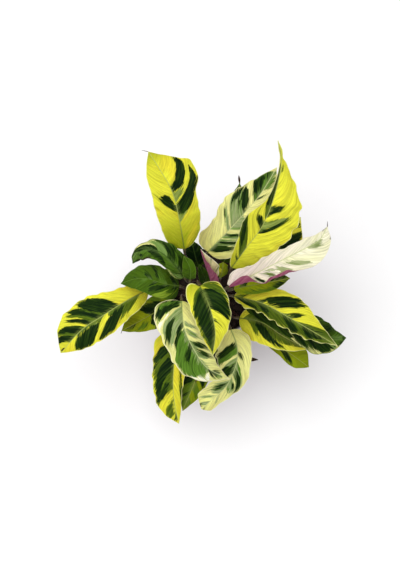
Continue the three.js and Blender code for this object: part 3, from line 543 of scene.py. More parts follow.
# The blade's relief: how far from the midrib and the margin the quilting is full, how wide the midrib's
# groove and rib are, how much the rib thins towards the tip and how much the blade thins to its margin.
QUILT_FROM_MIDRIB = 4 * MM
QUILT_FROM_MARGIN = 5 * MM
GROOVE_WIDTH = 0.8 * MM
RIB_WIDTH = 1.1 * MM
RIB_THINNING = 0.75
MARGIN_THINNING = 0.35

# The dry thread in which some tips end.
THREAD_ROWS = 8
THREAD_NARROWING = 0.6

# A vein leaves the midrib and reaches the margin this share of the blade's length further on. Part of that
# sweep comes as a bend near the margin.
VEIN_SWEEP = 0.26
VEIN_BEND = 0.35

# How deep a point lies inside a bar is measured across the bar, which lies aslant, and more softly from an
# end that stands away from the midrib or the margin. Depths are kept within a limit.
BAR_SLANT = 0.85
END_SOFTNESS = 0.35
NEAR_MIDRIB = 0.06
PATTERN_LIMIT = 4 * MM
KINDS = ("pale", "grey", "mid", "dark", "brown")

# The step in the tissue's noise from one blade to the next.
BLADE_STEP = 0.37


def smooth_at(values, x):
    """Values at even steps, read smoothly at x from 0 to 1."""
    values = np.asarray(values, float)
    last = len(values) - 1
    place = np.clip(x, 0, 1) * last
    start = np.minimum(place.astype(int), last - 1)
    part = (place - start).reshape(np.shape(x) + (1,) * (values.ndim - 1))
    padded = np.concatenate([[2 * values[0] - values[1]], values, [2 * values[-1] - values[-2]]])
    before, here, there, after = (padded[start + k] for k in range(4))
    leave = (there - before) / 2
    arrive = (after - here) / 2
    rise = there - here
    return (
        here
        + leave * part
        + (3 * rise - 2 * leave - arrive) * part**2
        + (leave + arrive - 2 * rise) * part**3
    )


def setting_at(setting, s):
    """A number, or numbers at even steps along the blade, read at s."""
    if np.ndim(setting) == 0:
        return np.full(np.shape(s), float(setting))
    return smooth_at(setting, s)


def unit(vectors):
    """Vectors made one metre long."""
    return vectors / np.linalg.norm(vectors, axis=-1, keepdims=True)


def midrib(shape, s):
    """Place, direction, left and up along the midrib at s from 0 to 1, and its length."""
    course = smooth_at(shape["spine"], np.linspace(0, 1, SPINE_SAMPLES))
    reached = np.concatenate([[0], np.cumsum(np.linalg.norm(np.diff(course, axis=0), axis=1))])
    length = reached[-1]

    def place(share):
        at = np.clip(share, 0, 1) * length
        return np.stack([np.interp(at, reached, course[:, k]) for k in range(3)], -1)

    step = 1 / SPINE_SAMPLES
    along = unit(place(s + step) - place(s - step))
    level = unit(np.array([0.0, 0.0, 1.0]) - along * along[..., 2:])
    right = np.cross(along, level)
    roll = np.radians(setting_at(shape["roll"], s))[..., None]
    up = level * np.cos(roll) + right * np.sin(roll)
    return place(s), along, np.cross(up, along), up, length


def end_shape(shape, s):
    """How much of its width the blade has at s: none at the two ends."""
    base = 1 - np.minimum(s / BASE_ROUNDING, 1)
    tip = np.clip((s - shape["tip_start"]) / (1 - shape["tip_start"]), 0, 1)
    return np.sqrt(1 - base**2) * (1 - tip**TIP_POWER)


def half_widths(shape, s, out):
    """The half-width in metres, left for out above 0 and right below it."""
    full = np.where(out >= 0, smooth_at(shape["left"], s), smooth_at(shape["right"], s))
    least = NECK_HALF_WIDTH + (TIP_HALF_WIDTH - NECK_HALF_WIDTH) * np.minimum(s / NECK_SHARE, 1)
    return np.sqrt((full * end_shape(shape, s)) ** 2 + least**2)


def blade_surface(shape, s, out):
    """Points and normals of the blade's middle surface and its half-widths, with s along it and out from
    -1 to 1 across."""
    place, along, left, up, _ = midrib(shape, s)
    reach = np.abs(out)
    is_left = out >= 0
    fold, curl = (
        np.radians(np.where(is_left, setting_at(shape[name][0], s), setting_at(shape[name][1], s)))
        for name in ("fold", "curl")
    )
    bend_from = np.zeros_like(reach)
    bend_to = np.ones_like(reach)
    if shape["right_bend"]:
        bend_from = np.where(is_left, 0, smooth_at(shape["right_bend"][0], s))
        bend_to = np.where(is_left, 1, smooth_at(shape["right_bend"][1], s))

    def slope_at(part):
        return fold - curl * np.clip((part - bend_from) / (bend_to - bend_from), 0, 1)

    across = np.zeros_like(reach)
    lift = np.zeros_like(reach)
    for k in range(FOLD_STEPS):
        slope = slope_at((k + 0.5) / FOLD_STEPS * reach)
        across += np.cos(slope) * reach / FOLD_STEPS
        lift += np.sin(slope) * reach / FOLD_STEPS
    side = np.where(is_left, 1.0, -1.0)
    width = half_widths(shape, s, out)
    behind = np.maximum(1 - s / LOBE_REACH, 0) ** 2 * end_shape(shape, s)
    lobe = np.where(is_left, *shape["lobe"]) * behind * reach**2
    points = (
        place
        + (side * width * across)[..., None] * left
        + (width * lift)[..., None] * up
        - lobe[..., None] * along
    )
    slope = slope_at(reach)
    normals = unit(np.cos(slope)[..., None] * up - (side * np.sin(slope))[..., None] * left)
    return points, normals, width


def vein_place(shape, s, out):
    """Where on the midrib the vein through each point starts."""
    reach = np.abs(out)
    return s - VEIN_SWEEP * end_shape(shape, s) * ((1 - VEIN_BEND) * reach + VEIN_BEND * reach**2)


def ripples(x, spacing, phases):
    """Uneven waves along a margin."""
    first, second = phases
    smaller = np.sin(math.tau * x / (spacing * SECOND_SPACING) + second)
    return np.sin(math.tau * x / spacing + first) + SECOND_WAVE * smaller


def margin_waves(shape, s, out, length, spacing, seed):
    """How strongly the nearest margin waves, at every point of a blade."""
    phases = np.random.default_rng(seed).uniform(0, math.tau, (2, 2))
    left, right = (ripples(s * length, spacing, pair) for pair in phases)
    return np.where(out >= 0, left, right) * np.where(out >= 0, *shape["wave"])


def bar_depth(bar, veins, out, width, length):
    """How deep inside a bar of the pattern each point lies, in metres."""
    half, _, *sections = bar
    outs, starts, stops = np.array(sections, float).T / 100
    reach = {"left": out, "right": -out, "both": np.abs(out)}[half]
    start = np.interp(reach, outs, starts)
    stop = np.interp(reach, outs, stops)
    depth = np.minimum(veins - start, stop - veins) * length * BAR_SLANT
    if outs[0] > NEAR_MIDRIB:
        depth = np.minimum(depth, (reach - outs[0]) * width * END_SOFTNESS)
    if outs[-1] < 1:
        depth = np.minimum(depth, (outs[-1] - reach) * width * END_SOFTNESS)
    return np.where(reach < 0, -PATTERN_LIMIT, depth)


def pattern_depths(bars, veins, out, width, length):
    """For each colour of the pattern, how deep inside it each point lies."""
    depths = {}
    for kind in KINDS:
        depth = np.full(out.shape, -PATTERN_LIMIT)
        for bar in bars:
            if bar[1] == kind:
                depth = np.maximum(depth, bar_depth(bar, veins, out, width, length))
        depths[kind] = np.clip(depth, -PATTERN_LIMIT, PATTERN_LIMIT)
    return depths


def blade_grid(length):
    """Places along a blade and across it, gathered at the base and beside the midrib."""
    rows = max(int(length / ROW_SPACING), LEAST_ROWS)
    s = np.linspace(0, 1, rows) ** BASE_GATHERING
    half = np.linspace(0, 1, HALF_COLUMNS + 1) ** MIDRIB_GATHERING
    return np.meshgrid(s, np.concatenate([-half[:0:-1], half]), indexing="ij")


def closed_sheet(top, bottom):
    """Vertices and faces of a thin closed body between two grids of points, and the top's border."""
    rows, columns = top.shape[:2]
    index = np.arange(rows * columns).reshape(rows, columns)
    quads = np.stack([index[:-1, :-1], index[1:, :-1], index[1:, 1:], index[:-1, 1:]], -1).reshape(-1, 4)
    under = quads[:, ::-1] + rows * columns
    border = np.concatenate([index[:-1, 0], index[-1, :-1], index[:0:-1, -1], index[0, :0:-1]])
    ahead = np.roll(border, -1)
    rim = np.stack([ahead, border, border + rows * columns, ahead + rows * columns], -1)
    vertices = np.concatenate([top.reshape(-1, 3), bottom.reshape(-1, 3)])
    return vertices, np.concatenate([quads, under, rim]), border


def add_thread(shape, top, bottom, marks):
    """Adds the dry thread in which a blade's tip ends."""
    share = np.linspace(0, 1, THREAD_ROWS + 1)[1:, None, None]
    lead = np.array(shape["thread"]) * share
    narrow = 1 - THREAD_NARROWING * share + shape["thread_swell"] * np.sin(math.pi * share)
    centre = (top[-1:].mean(1, keepdims=True) + bottom[-1:].mean(1, keepdims=True)) / 2
    top, bottom = (
        np.concatenate([grid, centre + (grid[-1:] - centre) * narrow + lead]) for grid in (top, bottom)
    )
    longer = {}
    for label, values in marks.items():
        added = np.repeat(values[-1:], THREAD_ROWS, axis=0)
        if label == "brown":
            added = np.full_like(added, PATTERN_LIMIT)
        longer[label] = np.concatenate([values, added])
    return top, bottom, longer


def new_mesh(name, vertices, faces):
    """A smoothly shaded mesh."""
    mesh = bpy.data.meshes.new(name)
    mesh.from_pydata(np.asarray(vertices).tolist(), [], [list(face) for face in faces])
    mesh.validate()
    mesh.shade_smooth()
    return mesh


def new_piece(name, mesh, node=None, material=None):
    """Shows a mesh as one piece of the plant, in place of a node of the frame if one is named."""
    piece = bpy.data.objects.new(name, mesh)
    bpy.context.scene.collection.objects.link(piece)
    if material:
        mesh.materials.append(material)
    if node:
        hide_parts(node)
    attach(piece, BODY)
    return piece


def mark(mesh, name, values):
    """Stores one number, or three, on each vertex."""
    values = np.asarray(values, np.float32)
    if values.ndim == 1:
        mesh.attributes.new(name, "FLOAT", "POINT").data.foreach_set("value", values)
    else:
        mesh.attributes.new(name, "FLOAT_VECTOR", "POINT").data.foreach_set("vector", values.ravel())


def crease(mesh, border, under):
    """Keeps the rim between the two faces of a blade from being shaded smooth."""
    edges = np.empty(len(mesh.edges) * 2, np.int32)
    mesh.edges.foreach_get("vertices", edges)
    edges = edges.reshape(-1, 2)
    on_border = np.zeros(len(mesh.vertices), bool)
    on_border[border] = True
    on_border[border + under] = True
    same_face = (edges[:, 0] < under) == (edges[:, 1] < under)
    sharp = on_border[edges].all(1) & same_face
    mesh.attributes.new("sharp_edge", "BOOLEAN", "EDGE").data.foreach_set("value", sharp)


def blade_mesh(name, shape, sizes, seed):
    """One leaf blade as a thin closed body with its midrib, veins and wavy margin."""
    length = midrib(shape, np.array([0.0]))[-1]
    s, out = blade_grid(length)
    wavy = margin_waves(shape, s, out, length, sizes.wave_spacing, seed)
    swelling = 1 + sizes.wave_width * wavy * np.abs(out) ** SWELL_POWER
    points, normals, width = blade_surface(shape, s, out * swelling)
    veins = vein_place(shape, s, out)
    reach = np.abs(out)
    across = reach * width
    from_margin = (1 - reach) * width
    ends = end_shape(shape, s)

    quilt = 0.5 - 0.5 * np.cos(math.tau * veins * length / sizes.vein_spacing)
    open_area = np.clip(across / QUILT_FROM_MIDRIB, 0, 1) * np.clip(from_margin / QUILT_FROM_MARGIN, 0, 1)
    rise = sizes.wave_height * wavy * reach**LIFT_POWER * ends
    rise = rise + sizes.quilt_height * np.sqrt(quilt) * open_area
    groove = np.exp(-((across / GROOVE_WIDTH) ** 2)) * ends
    rib = np.exp(-((across / RIB_WIDTH) ** 2)) * (1 - RIB_THINNING * s)
    thickness = sizes.blade_thickness * (1 - MARGIN_THINNING * reach**2)
    top = points + normals * (rise + thickness / 2 - sizes.groove_depth * groove)[..., None]
    bottom = points + normals * (rise - thickness / 2 - sizes.rib_height * rib)[..., None]

    marks = pattern_depths(PATTERNS.get(name, ()), veins, out, width, length)
    marks["margin"] = from_margin / np.where(out >= 0, *shape["rim"])
    marks["greening"] = smooth_at(shape["greening"], s)
    marks["veins"] = np.stack([veins * length, out * width, np.full_like(s, seed * BLADE_STEP)], -1)
    if shape["thread"]:
        top, bottom, marks = add_thread(shape, top, bottom, marks)

    vertices, faces, border = closed_sheet(top, bottom)
    mesh = new_mesh("blade_" + name, vertices, faces)
    for label, values in marks.items():
        flat = values.reshape(-1, *values.shape[2:])
        mark(mesh, label, np.concatenate([flat, flat]))
    under = len(vertices) // 2
    upper = np.zeros(len(vertices))
    upper[:under] = 1
    mark(mesh, "upper", upper)
    crease(mesh, border, under)
    return mesh


class Wiring:
    """Adds nodes to a tree and links them."""

    def __init__(self, tree):
        self.tree = tree

    def add(self, kind, inputs=None, **settings):
        """A new node, with its inputs given as values or as the outputs of other nodes."""
        made = self.tree.nodes.new(kind)
        for name, value in settings.items():
            setattr(made, name, value)
        for socket, value in (inputs or {}).items():
            if isinstance(value, bpy.types.NodeSocket):
                self.tree.links.new(value, made.inputs[socket])
            else:
                made.inputs[socket].default_value = value
        return made

    def maths(self, operation, first, second=0.0, third=0.0):
        """The result of a sum on up to three numbers."""
        made = self.add("ShaderNodeMath", {0: first, 1: second, 2: third}, operation=operation)
        return made.outputs[0]

    def stretch(self, vector, scale):
        """A vector with each of its parts scaled."""
        made = self.add("ShaderNodeVectorMath", {0: vector, 1: scale}, operation="MULTIPLY")
        return made.outputs[0]

    def noise(self, vector, scale=1.0, detail=2.0, roughness=0.5):
        """Soft noise, mostly between 0.2 and 0.8."""
        inputs = {"Vector": vector, "Scale": scale, "Detail": detail, "Roughness": roughness}
        return self.add("ShaderNodeTexNoise", inputs).outputs["Fac"]

    def span(self, value, low, high, to_low=0.0, to_high=1.0):
        """A smooth step: to_low where the value is at or below low, to_high from high on."""
        inputs = {"Value": value, "From Min": low, "From Max": high, "To Min": to_low, "To Max": to_high}
        made = self.add("ShaderNodeMapRange", inputs, interpolation_type="SMOOTHSTEP")
        return made.outputs["Result"]

    def blend(self, share, first, second):
        """The first colour with a share of the second."""
        made = self.add("ShaderNodeMix", {0: share, 6: first, 7: second}, data_type="RGBA")
        return made.outputs[2]

    def shade(self, colour, amount):
        """A colour made lighter or darker by a number around 1."""
        if not isinstance(colour, bpy.types.NodeSocket):
            colour = tuple(colour)[:3]
        made = self.add("ShaderNodeVectorMath", {0: colour, "Scale": amount}, operation="SCALE")
        return made.outputs[0]

    def attribute(self, name, output="Fac"):
        """What the mesh stores under a name."""
        made = self.add("ShaderNodeAttribute", attribute_name=name, attribute_type="GEOMETRY")
        return made.outputs[output]

    def object_place(self):
        """The point's place in the object."""
        return self.add("ShaderNodeTexCoord").outputs["Object"]


def new_material(name, roughness, specular):
    """A material's wiring and shader."""
    material = bpy.data.materials.new(name)
    material.use_nodes = True
    wiring = Wiring(material.node_tree)
    shader = material.node_tree.nodes["Principled BSDF"]
    shader.inputs["Roughness"].default_value = roughness
    shader.inputs["Specular IOR Level"].default_value = specular
    return material, wiring, shader


def finish_shader(wiring, shader, colour, relief=None, strength=0.5, depth=0.0, roughness=None):
    """Gives a shader its colour and, where they are made by nodes, its fine relief and its roughness."""
    wiring.tree.links.new(colour, shader.inputs["Base Color"])
    if relief is not None:
        bump = wiring.add("ShaderNodeBump", {"Height": relief, "Strength": strength, "Distance": depth})
        wiring.tree.links.new(bump.outputs[0], shader.inputs["Normal"])
    if roughness is not None:
        wiring.tree.links.new(roughness, shader.inputs["Roughness"])


def rgba(colour):
    """A colour with full cover."""
    return (*colour, 1.0)


def linear(code):
    """A display colour code as linear red, green and blue."""
    shares = [int(code[k : k + 2], 16) / 255 for k in (0, 2, 4)]
    return tuple(c / 12.92 if c <= 0.04045 else ((c + 0.055) / 1.055) ** 2.4 for c in shares)


# The noises in the leaf tissue: how often each repeats in a metre along the midrib and in a metre outwards
# from it, the spread from blade to blade, and the noise's detail and roughness.
LEAF_NOISES = {
    "streaks": ((900.0, 110.0, 10.0), 3.0, 0.5),
    "fibres": ((2600.0, 160.0, 10.0), 2.0, 0.5),
    "broad": ((230.0, 60.0, 10.0), 2.0, 0.5),
    "clouds": ((34.0, 34.0, 10.0), 1.0, 0.5),
    "brush": ((480.0, 55.0, 10.0), 3.0, 0.6),
}

# The ground tissue: the streaks' part in its patches, the patches' middle, the most of the warm colour,
# the patches' darkest and lightest shade, and how much darker the side veins are.
STREAKS_IN_PATCHES = 0.5
PATCHES_MIDDLE = 0.75
MOST_WARMTH = 0.55
PATCH_SHADES = (0.76, 1.2)
GROUND_VEIN_SHADE = 0.07

# The bars: how far their edges fray and wander, the depths between which their colour sets in, the mid
# green fringe round a dark bar, how much lighter their side veins are, how grey they are at the midrib,
# and the darkest and lightest shade of the fibres over them.
FRAY = 7.0 * MM
WANDER = 3.0 * MM
BAR_EDGE = (-0.25 * MM, 0.3 * MM)
FRINGE_EDGE = (-1.2 * MM, 0.2 * MM)
MOST_FRINGE = 0.65
BAR_VEIN_LIGHT = 0.22
FEATHER_REACH = (0.6 * MM, 5.0 * MM)
MOST_FEATHER = 0.5
FIBRE_SHADES = (0.79, 1.2)

# The midrib's line narrows away from the base, and its colour changes. The rim is a line along the margin.
RIB_LINE = 0.7 * MM
RIB_LINE_MORE = 0.6 * MM
RIB_BASE_REACH = 55.0 * MM
MOST_RIB = 0.75
RIM_EDGE = (0.3 * MM, 1.0 * MM)
MOST_RIM = 0.8

# The blade's finest relief: parallel veins, in radians for each metre, and the streaks.
PARALLEL_VEINS = 4200.0
PARALLEL_HEIGHT = 0.35


def ground_tissue(wiring, tissue, noises, patches, side_vein):
    """The blade's ground colour, tinted along the blade, with warm clouds and darker side veins."""
    shift = wiring.maths("SUBTRACT", patches, PATCHES_MIDDLE)
    tinted = wiring.span(wiring.maths("ADD", wiring.attribute("greening"), shift), 0.0, 1.0)
    colour = wiring.blend(tinted, rgba(tissue["ground"]), rgba(tissue["tint"]))
    warmth = wiring.span(noises["clouds"], 0.5, 0.7, 0.0, MOST_WARMTH)
    colour = wiring.blend(warmth, colour, rgba(tissue["warm"]))
    colour = wiring.shade(colour, wiring.span(patches, 0.5, 1.0, *PATCH_SHADES))
    darker = wiring.maths("MULTIPLY", side_vein, GROUND_VEIN_SHADE)
    return wiring.shade(colour, wiring.maths("SUBTRACT", 1.0, darker))


def painted_bars(wiring, colour, tissue, colours, noises, uneven, beside_rib, side_vein):
    """The pattern's bars on the ground colour, each of two colours in brush strokes along the veins."""
    near_rib = wiring.span(beside_rib, *FEATHER_REACH, MOST_FEATHER, 0.0)
    feather = wiring.maths("MULTIPLY", near_rib, wiring.span(noises["brush"], 0.36, 0.6))
    light_vein = wiring.maths("ADD", 1.0, wiring.maths("MULTIPLY", side_vein, BAR_VEIN_LIGHT))
    # Each kind of bar has its main colour, its second colour and the most of the second.
    paints = {
        "pale": (tissue["pale"], tissue["ground"], 0.6),
        "grey": (tissue["grey"], tissue["mid"], 0.85),
        "mid": (tissue["mid"], colours.dark_green, 0.6),
        "dark": (colours.dark_green, colours.mid_green, 0.28),
    }
    for kind, (main, second, most) in paints.items():
        depth = wiring.maths("ADD", wiring.attribute(kind), uneven)
        if kind == "dark":
            fringe = wiring.span(depth, *FRINGE_EDGE, 0.0, MOST_FRINGE)
            colour = wiring.blend(fringe, colour, rgba(colours.mid_green))
        share = wiring.span(noises["brush"], 0.42, 0.68, 0.0, most)
        varied = wiring.blend(share, rgba(main), rgba(second))
        if kind in ("mid", "dark"):
            varied = wiring.blend(feather, varied, rgba(tissue["grey"]))
        varied = wiring.shade(varied, light_vein)
        colour = wiring.blend(wiring.span(depth, *BAR_EDGE), colour, varied)
    return wiring.shade(colour, wiring.span(noises["fibres"], 0.25, 0.75, *FIBRE_SHADES))


def midrib_and_rim(wiring, colour, tissue, along, beside_rib):
    """The midrib's line and the thin line along the margin, on the blade's colour."""
    near_base = wiring.span(along, 0.0, RIB_BASE_REACH, 1.0, 0.0)
    line = wiring.maths("MULTIPLY_ADD", near_base, RIB_LINE_MORE, RIB_LINE)
    on_rib = wiring.span(wiring.maths("DIVIDE", beside_rib, line), 0.3, 1.0, MOST_RIB, 0.0)
    rib = wiring.blend(near_base, rgba(tissue["rib"]), rgba(tissue["rib_base"]))
    colour = wiring.blend(on_rib, colour, rib)
    on_rim = wiring.span(wiring.attribute("margin"), *RIM_EDGE, MOST_RIM, 0.0)
    return wiring.blend(on_rim, colour, rgba(tissue["rim"]))


def leaf_material(name, tissue, colours):
    """Leaf tissue: the pattern's colours with frayed edges along the veins, a midrib and a purple back."""
    material, wiring, shader = new_material(name, roughness=0.45, specular=0.05)
    veins = wiring.attribute("veins", "Vector")
    along, outward, _ = wiring.add("ShaderNodeSeparateXYZ", {0: veins}).outputs
    noises = {
        label: wiring.noise(wiring.stretch(veins, often), 1.0, detail, roughness)
        for label, (often, detail, roughness) in LEAF_NOISES.items()
    }
    fray = wiring.maths("MULTIPLY", wiring.maths("SUBTRACT", noises["streaks"], 0.5), FRAY)
    wander = wiring.maths("MULTIPLY", wiring.maths("SUBTRACT", noises["broad"], 0.5), WANDER)
    uneven = wiring.maths("ADD", fray, wander)
    streaks = wiring.maths("MULTIPLY", noises["streaks"], STREAKS_IN_PATCHES)
    patches = wiring.maths("ADD", noises["broad"], streaks)
    turn = wiring.maths("MULTIPLY", along, math.tau / colours.vein_spacing)
    side_vein = wiring.span(wiring.maths("COSINE", turn), 0.8, 1.0)
    beside_rib = wiring.maths("ABSOLUTE", outward)

    colour = ground_tissue(wiring, tissue, noises, patches, side_vein)
    colour = painted_bars(wiring, colour, tissue, colours, noises, uneven, beside_rib, side_vein)
    colour = midrib_and_rim(wiring, colour, tissue, along, beside_rib)
    dried = wiring.maths("ADD", wiring.attribute("brown"), wiring.maths("MULTIPLY", fray, 0.5))
    colour = wiring.blend(wiring.span(dried, *BAR_EDGE), colour, rgba(colours.dry))
    back = wiring.blend(wiring.span(patches, 0.45, 1.05), rgba(colours.purple), rgba(colours.purple_pale))
    colour = wiring.blend(wiring.attribute("upper"), back, colour)

    parallel = wiring.maths("SINE", wiring.maths("MULTIPLY", along, PARALLEL_VEINS))
    relief = wiring.maths("ADD", wiring.maths("MULTIPLY", parallel, PARALLEL_HEIGHT), noises["streaks"])
    roughness = wiring.span(noises["streaks"], 0.2, 0.8, 0.34, 0.5)
    finish_shader(wiring, shader, colour, relief, strength=0.6, depth=0.35 * MM, roughness=roughness)
    return material


def stalk_material(stalks):
    """Dark red-brown skin with fine streaks, greener at the knee."""
    material, wiring, shader = new_material("stalk skin", roughness=0.42, specular=0.4)
    place = wiring.object_place()
    streaks = wiring.noise(wiring.stretch(place, (900.0, 900.0, 60.0)), detail=3.0)
    patches = wiring.noise(place, scale=60.0)
    colour = wiring.shade(rgba(stalks.colour), wiring.span(streaks, 0.2, 0.8, 0.6, 1.5))
    colour = wiring.blend(wiring.attribute("knee"), colour, rgba(stalks.knee_colour))
    colour = wiring.shade(colour, wiring.span(patches, 0.3, 0.7, 0.7, 1.2))
    finish_shader(wiring, shader, colour, streaks, strength=0.4, depth=0.15 * MM)
    return material


def soil_material(soil):
    """Moist soil with lighter grains of bark."""
    material, wiring, shader = new_material("moist soil", roughness=0.85, specular=0.3)
    place = wiring.object_place()
    grains = wiring.noise(place, scale=900.0, detail=3.0, roughness=0.6)
    lumps = wiring.noise(place, scale=160.0)
    colour = wiring.blend(wiring.span(grains, 0.58, 0.72), rgba(soil.colour), rgba(soil.bark))
    colour = wiring.shade(colour, wiring.span(lumps, 0.3, 0.7, 0.5, 1.2))
    finish_shader(wiring, shader, colour, grains, strength=0.8, depth=0.6 * MM)
    return material


def pot_material(pot):
    """Dark moulded plastic with level scuffs and a little dust."""
    material, wiring, shader = new_material("pot plastic", roughness=0.45, specular=0.45)
    place = wiring.object_place()
    grain = wiring.noise(place, scale=1400.0)
    scuffs = wiring.noise(wiring.stretch(place, (60.0, 60.0, 260.0)), detail=4.0, roughness=0.65)
    dust = wiring.noise(place, scale=38.0, detail=4.0, roughness=0.6)
    colour = wiring.shade(rgba(pot.colour), wiring.span(scuffs, 0.35, 0.75, 0.85, 1.5))
    colour = wiring.blend(wiring.span(dust, 0.5, 0.75, 0.0, 0.12), colour, rgba(pot.dust))
    gloss = wiring.span(scuffs, 0.3, 0.7, 0.36, 0.58)
    finish_shader(wiring, shader, colour, grain, strength=0.35, depth=0.12 * MM, roughness=gloss)
    return material


def floor_material(stage):
    """The studio floor's plain matt paint."""
    material, wiring, shader = new_material("studio floor", roughness=0.8, specular=0.2)
    mottle = wiring.noise(wiring.object_place(), scale=6.0, detail=3.0)
    colour = wiring.shade(rgba(stage.floor_colour), wiring.span(mottle, 0.3, 0.7, 0.985, 1.0))
    finish_shader(wiring, shader, colour)
    return material


def colour_property(name, description, default):
    """A colour that a user may change."""
    return FloatVectorProperty(
        name=name, description=description, default=default, subtype="COLOR", size=3, min=0, max=1
    )


def length_property(name, description, default):
    """A length that a user may change."""
    return FloatProperty(
        name=name, description=description, default=default, subtype="DISTANCE", unit="LENGTH"
    )


class PlantLeafSettings(bpy.types.PropertyGroup):
    """Sizes and colours of the leaf blades"""

    blade_thickness: length_property("Blade thickness", "Thickness of a blade beside its midrib", 0.5 * MM)
    rib_height: length_property("Rib height", "How far the midrib stands out under a blade", 0.9 * MM)
    groove_depth: length_property(
        "Groove depth", "How deep the midrib lies in a blade's upper face", 0.45 * MM
    )
    quilt_height: length_property("Quilting", "How far a blade rises between its side veins", 0.55 * MM)
    vein_spacing: length_property("Vein spacing", "Distance between side veins along the midrib", 6.5 * MM)
    wave_height: length_property("Margin wave", "How far a blade's margin rises and falls", 1.2 * MM)
    wave_spacing: length_property("Wave spacing", "Distance between the waves along a margin", 19 * MM)
    wave_width: FloatProperty(
        name="Wave width",
        description="How far the waves swell a blade's outline, as a share of it",
        default=0.025,
    )
    yellow: colour_property("Yellow", "Ground colour of the yellow leaves", linear("E4E23E"))
    cream: colour_property("Cream", "Ground colour of the cream leaves", linear("E9E992"))
    green: colour_property("Green", "Ground colour of the plain green leaves", linear("44620F"))
    dark_green: colour_property("Dark green", "Darkest bars of the pattern", linear("081F04"))
    mid_green: colour_property("Mid green", "Lighter edges of the dark bars", linear("4C6E1A"))
    grey_green: colour_property("Grey green", "Silvery patches between the bars", linear("97A46E"))
    olive: colour_property("Olive", "Greening of a blade towards its ends", linear("8A9610"))
    rim: colour_property("Rim", "Thin line along a blade's margin", linear("E8E8A0"))
    purple: colour_property("Purple", "Underside of the leaves", linear("7C3550"))
    purple_pale: colour_property("Pale purple", "Lighter areas of the underside", linear("A8657A"))
    dry: colour_property("Dry tissue", "Dried tips and specks", linear("33231A"))


class PlantStalkSettings(bpy.types.PropertyGroup):
    """Sizes and colours of the stalks"""

    foot_radius: length_property("Foot radius", "Radius where a stalk leaves the soil", 2.6 * MM)
    shaft_radius: length_property("Shaft radius", "Radius of a stalk's middle", 1.4 * MM)
    knee_radius: length_property("Knee radius", "Radius of the knee under a blade", 1.95 * MM)
    knee_length: length_property("Knee length", "Length of the knee under a blade", 12 * MM)
    foot_length: length_property("Foot length", "Length over which the foot narrows", 32 * MM)
    sides: IntProperty(name="Sides", description="Number of a stalk's sides", default=14, min=6, max=32)
    colour: colour_property("Stalk", "Colour of the stalks", linear("38201A"))
    knee_colour: colour_property("Knee", "Colour of the knees under the blades", linear("4C441F"))


class PlantPotSettings(bpy.types.PropertyGroup):
    """Sizes and colours of the nursery pot"""

    wall: length_property("Wall", "Thickness of the pot's wall", 1.6 * MM)
    floor: length_property("Floor", "Thickness of the pot's floor", 2.2 * MM)
    rim_height: length_property("Rim height", "Height of the band under the rim", 16 * MM)
    rim_step: length_property("Rim step", "How far the band stands out", 1.8 * MM)
    base_radius: length_property("Base radius", "Radius of the pot's underside", 43 * MM)
    hole_radius: length_property("Hole radius", "Radius of a drain hole", 4 * MM)
    hole_circle: length_property("Hole circle", "Radius of the circle of drain holes", 29 * MM)
    holes: IntProperty(name="Holes", description="Number of drain holes", default=8, min=0, max=24)
    colour: colour_property("Pot", "Colour of the pot's plastic", linear("2B2927"))
    dust: colour_property("Dust", "Colour of the dust on the pot", linear("6E5B45"))


class PlantSoilSettings(bpy.types.PropertyGroup):
    """Sizes and colours of the potting soil and its crumbs"""

    level: length_property("Soil level", "Height of the soil at the pot's wall", 91 * MM)
    mound: length_property("Mound", "How far the soil rises to its middle", 4 * MM)
    bump: length_property("Bumps", "Height of the soil's lumps", 1.1 * MM)
    crumb: length_property("Crumb radius", "Radius of a middling crumb", 1.6 * MM)
    crumbs: IntProperty(
        name="Crumbs", description="Crumbs in each square centimetre", default=9, min=0, max=40
    )
    colour: colour_property("Soil", "Colour of the moist soil", linear("241A12"))
    bark: colour_property("Bark", "Colour of the lighter crumbs", linear("5A4028"))


class PlantStageSettings(bpy.types.PropertyGroup):
    """The stage's lens, floor and light"""

    lens: FloatProperty(name="Lens", description="Focal length", default=50, unit="CAMERA")
    floor_size: length_property("Floor size", "Width of the floor", 6.0)
    floor_colour: colour_property("Floor", "Colour of the floor", (0.9, 0.9, 0.9))
    sky: FloatProperty(name="Sky", description="Strength of the light from all round", default=0.62, min=0)
    key: FloatProperty(
        name="Key light", description="Strength of the soft light from the upper left", default=2.05
    )


# The pot's outline, beside the sizes that a user may change: how far its wall has widened under the band,
# the band's sloping underside and its taper, the rim's width, the step inside, and how its edges are
# rounded. Rings stand close together just inside the underside's edge, so that it is shaded flat. The
# drill for its holes is as long as this many floors are thick.
POT_SIDES = 128
UNDERSIDE_EDGE = 3 * MM
WALL_SHARE = 0.9
BAND_SLOPE = 2.5 * MM
BAND_TAPER = 0.4 * MM
RIM_WIDTH = 1.7 * MM
INNER_STEP = 1 * MM
SLIGHT_ROUNDING = 0.2 * MM
BAND_ROUNDING = 0.6 * MM
RIM_ROUNDING = 0.75 * MM
FOOT_ROUNDING = 1.0 * MM
WALL_ROUNDING = 1.2 * MM
ROUNDING_STEPS = 4
DRILL_SIDES = 32
DRILL_DEPTH = 4

# The soil's mesh, the gap round its underside inside the pot, and the lumps and grains on its top. The
# lumps' waves are given in millimetres for each radian.
SOIL_SIDES = 120
SOIL_RINGS = 56
SOIL_GAP = 2.5 * MM
LUMPS = (5, 6)
CROSSING_LUMPS = 3.1
CROSSING_HEIGHT = 0.6
GRAIN_HEIGHT = 0.35

# The crumbs lie where the ground faces up. Each is a ball pushed about by noise, between these shares of a
# middling crumb's size in its three directions. A square metre is given in square centimetres.
CRUMB_SEED = 7
FACES_UP = 0.3
CRUMB_NOISE = 900.0
SMALLEST_CRUMB = (0.35, 0.3, 0.25)
LARGEST_CRUMB = (1.5, 1.0, 0.7)
SQUARE_METRE = 10000

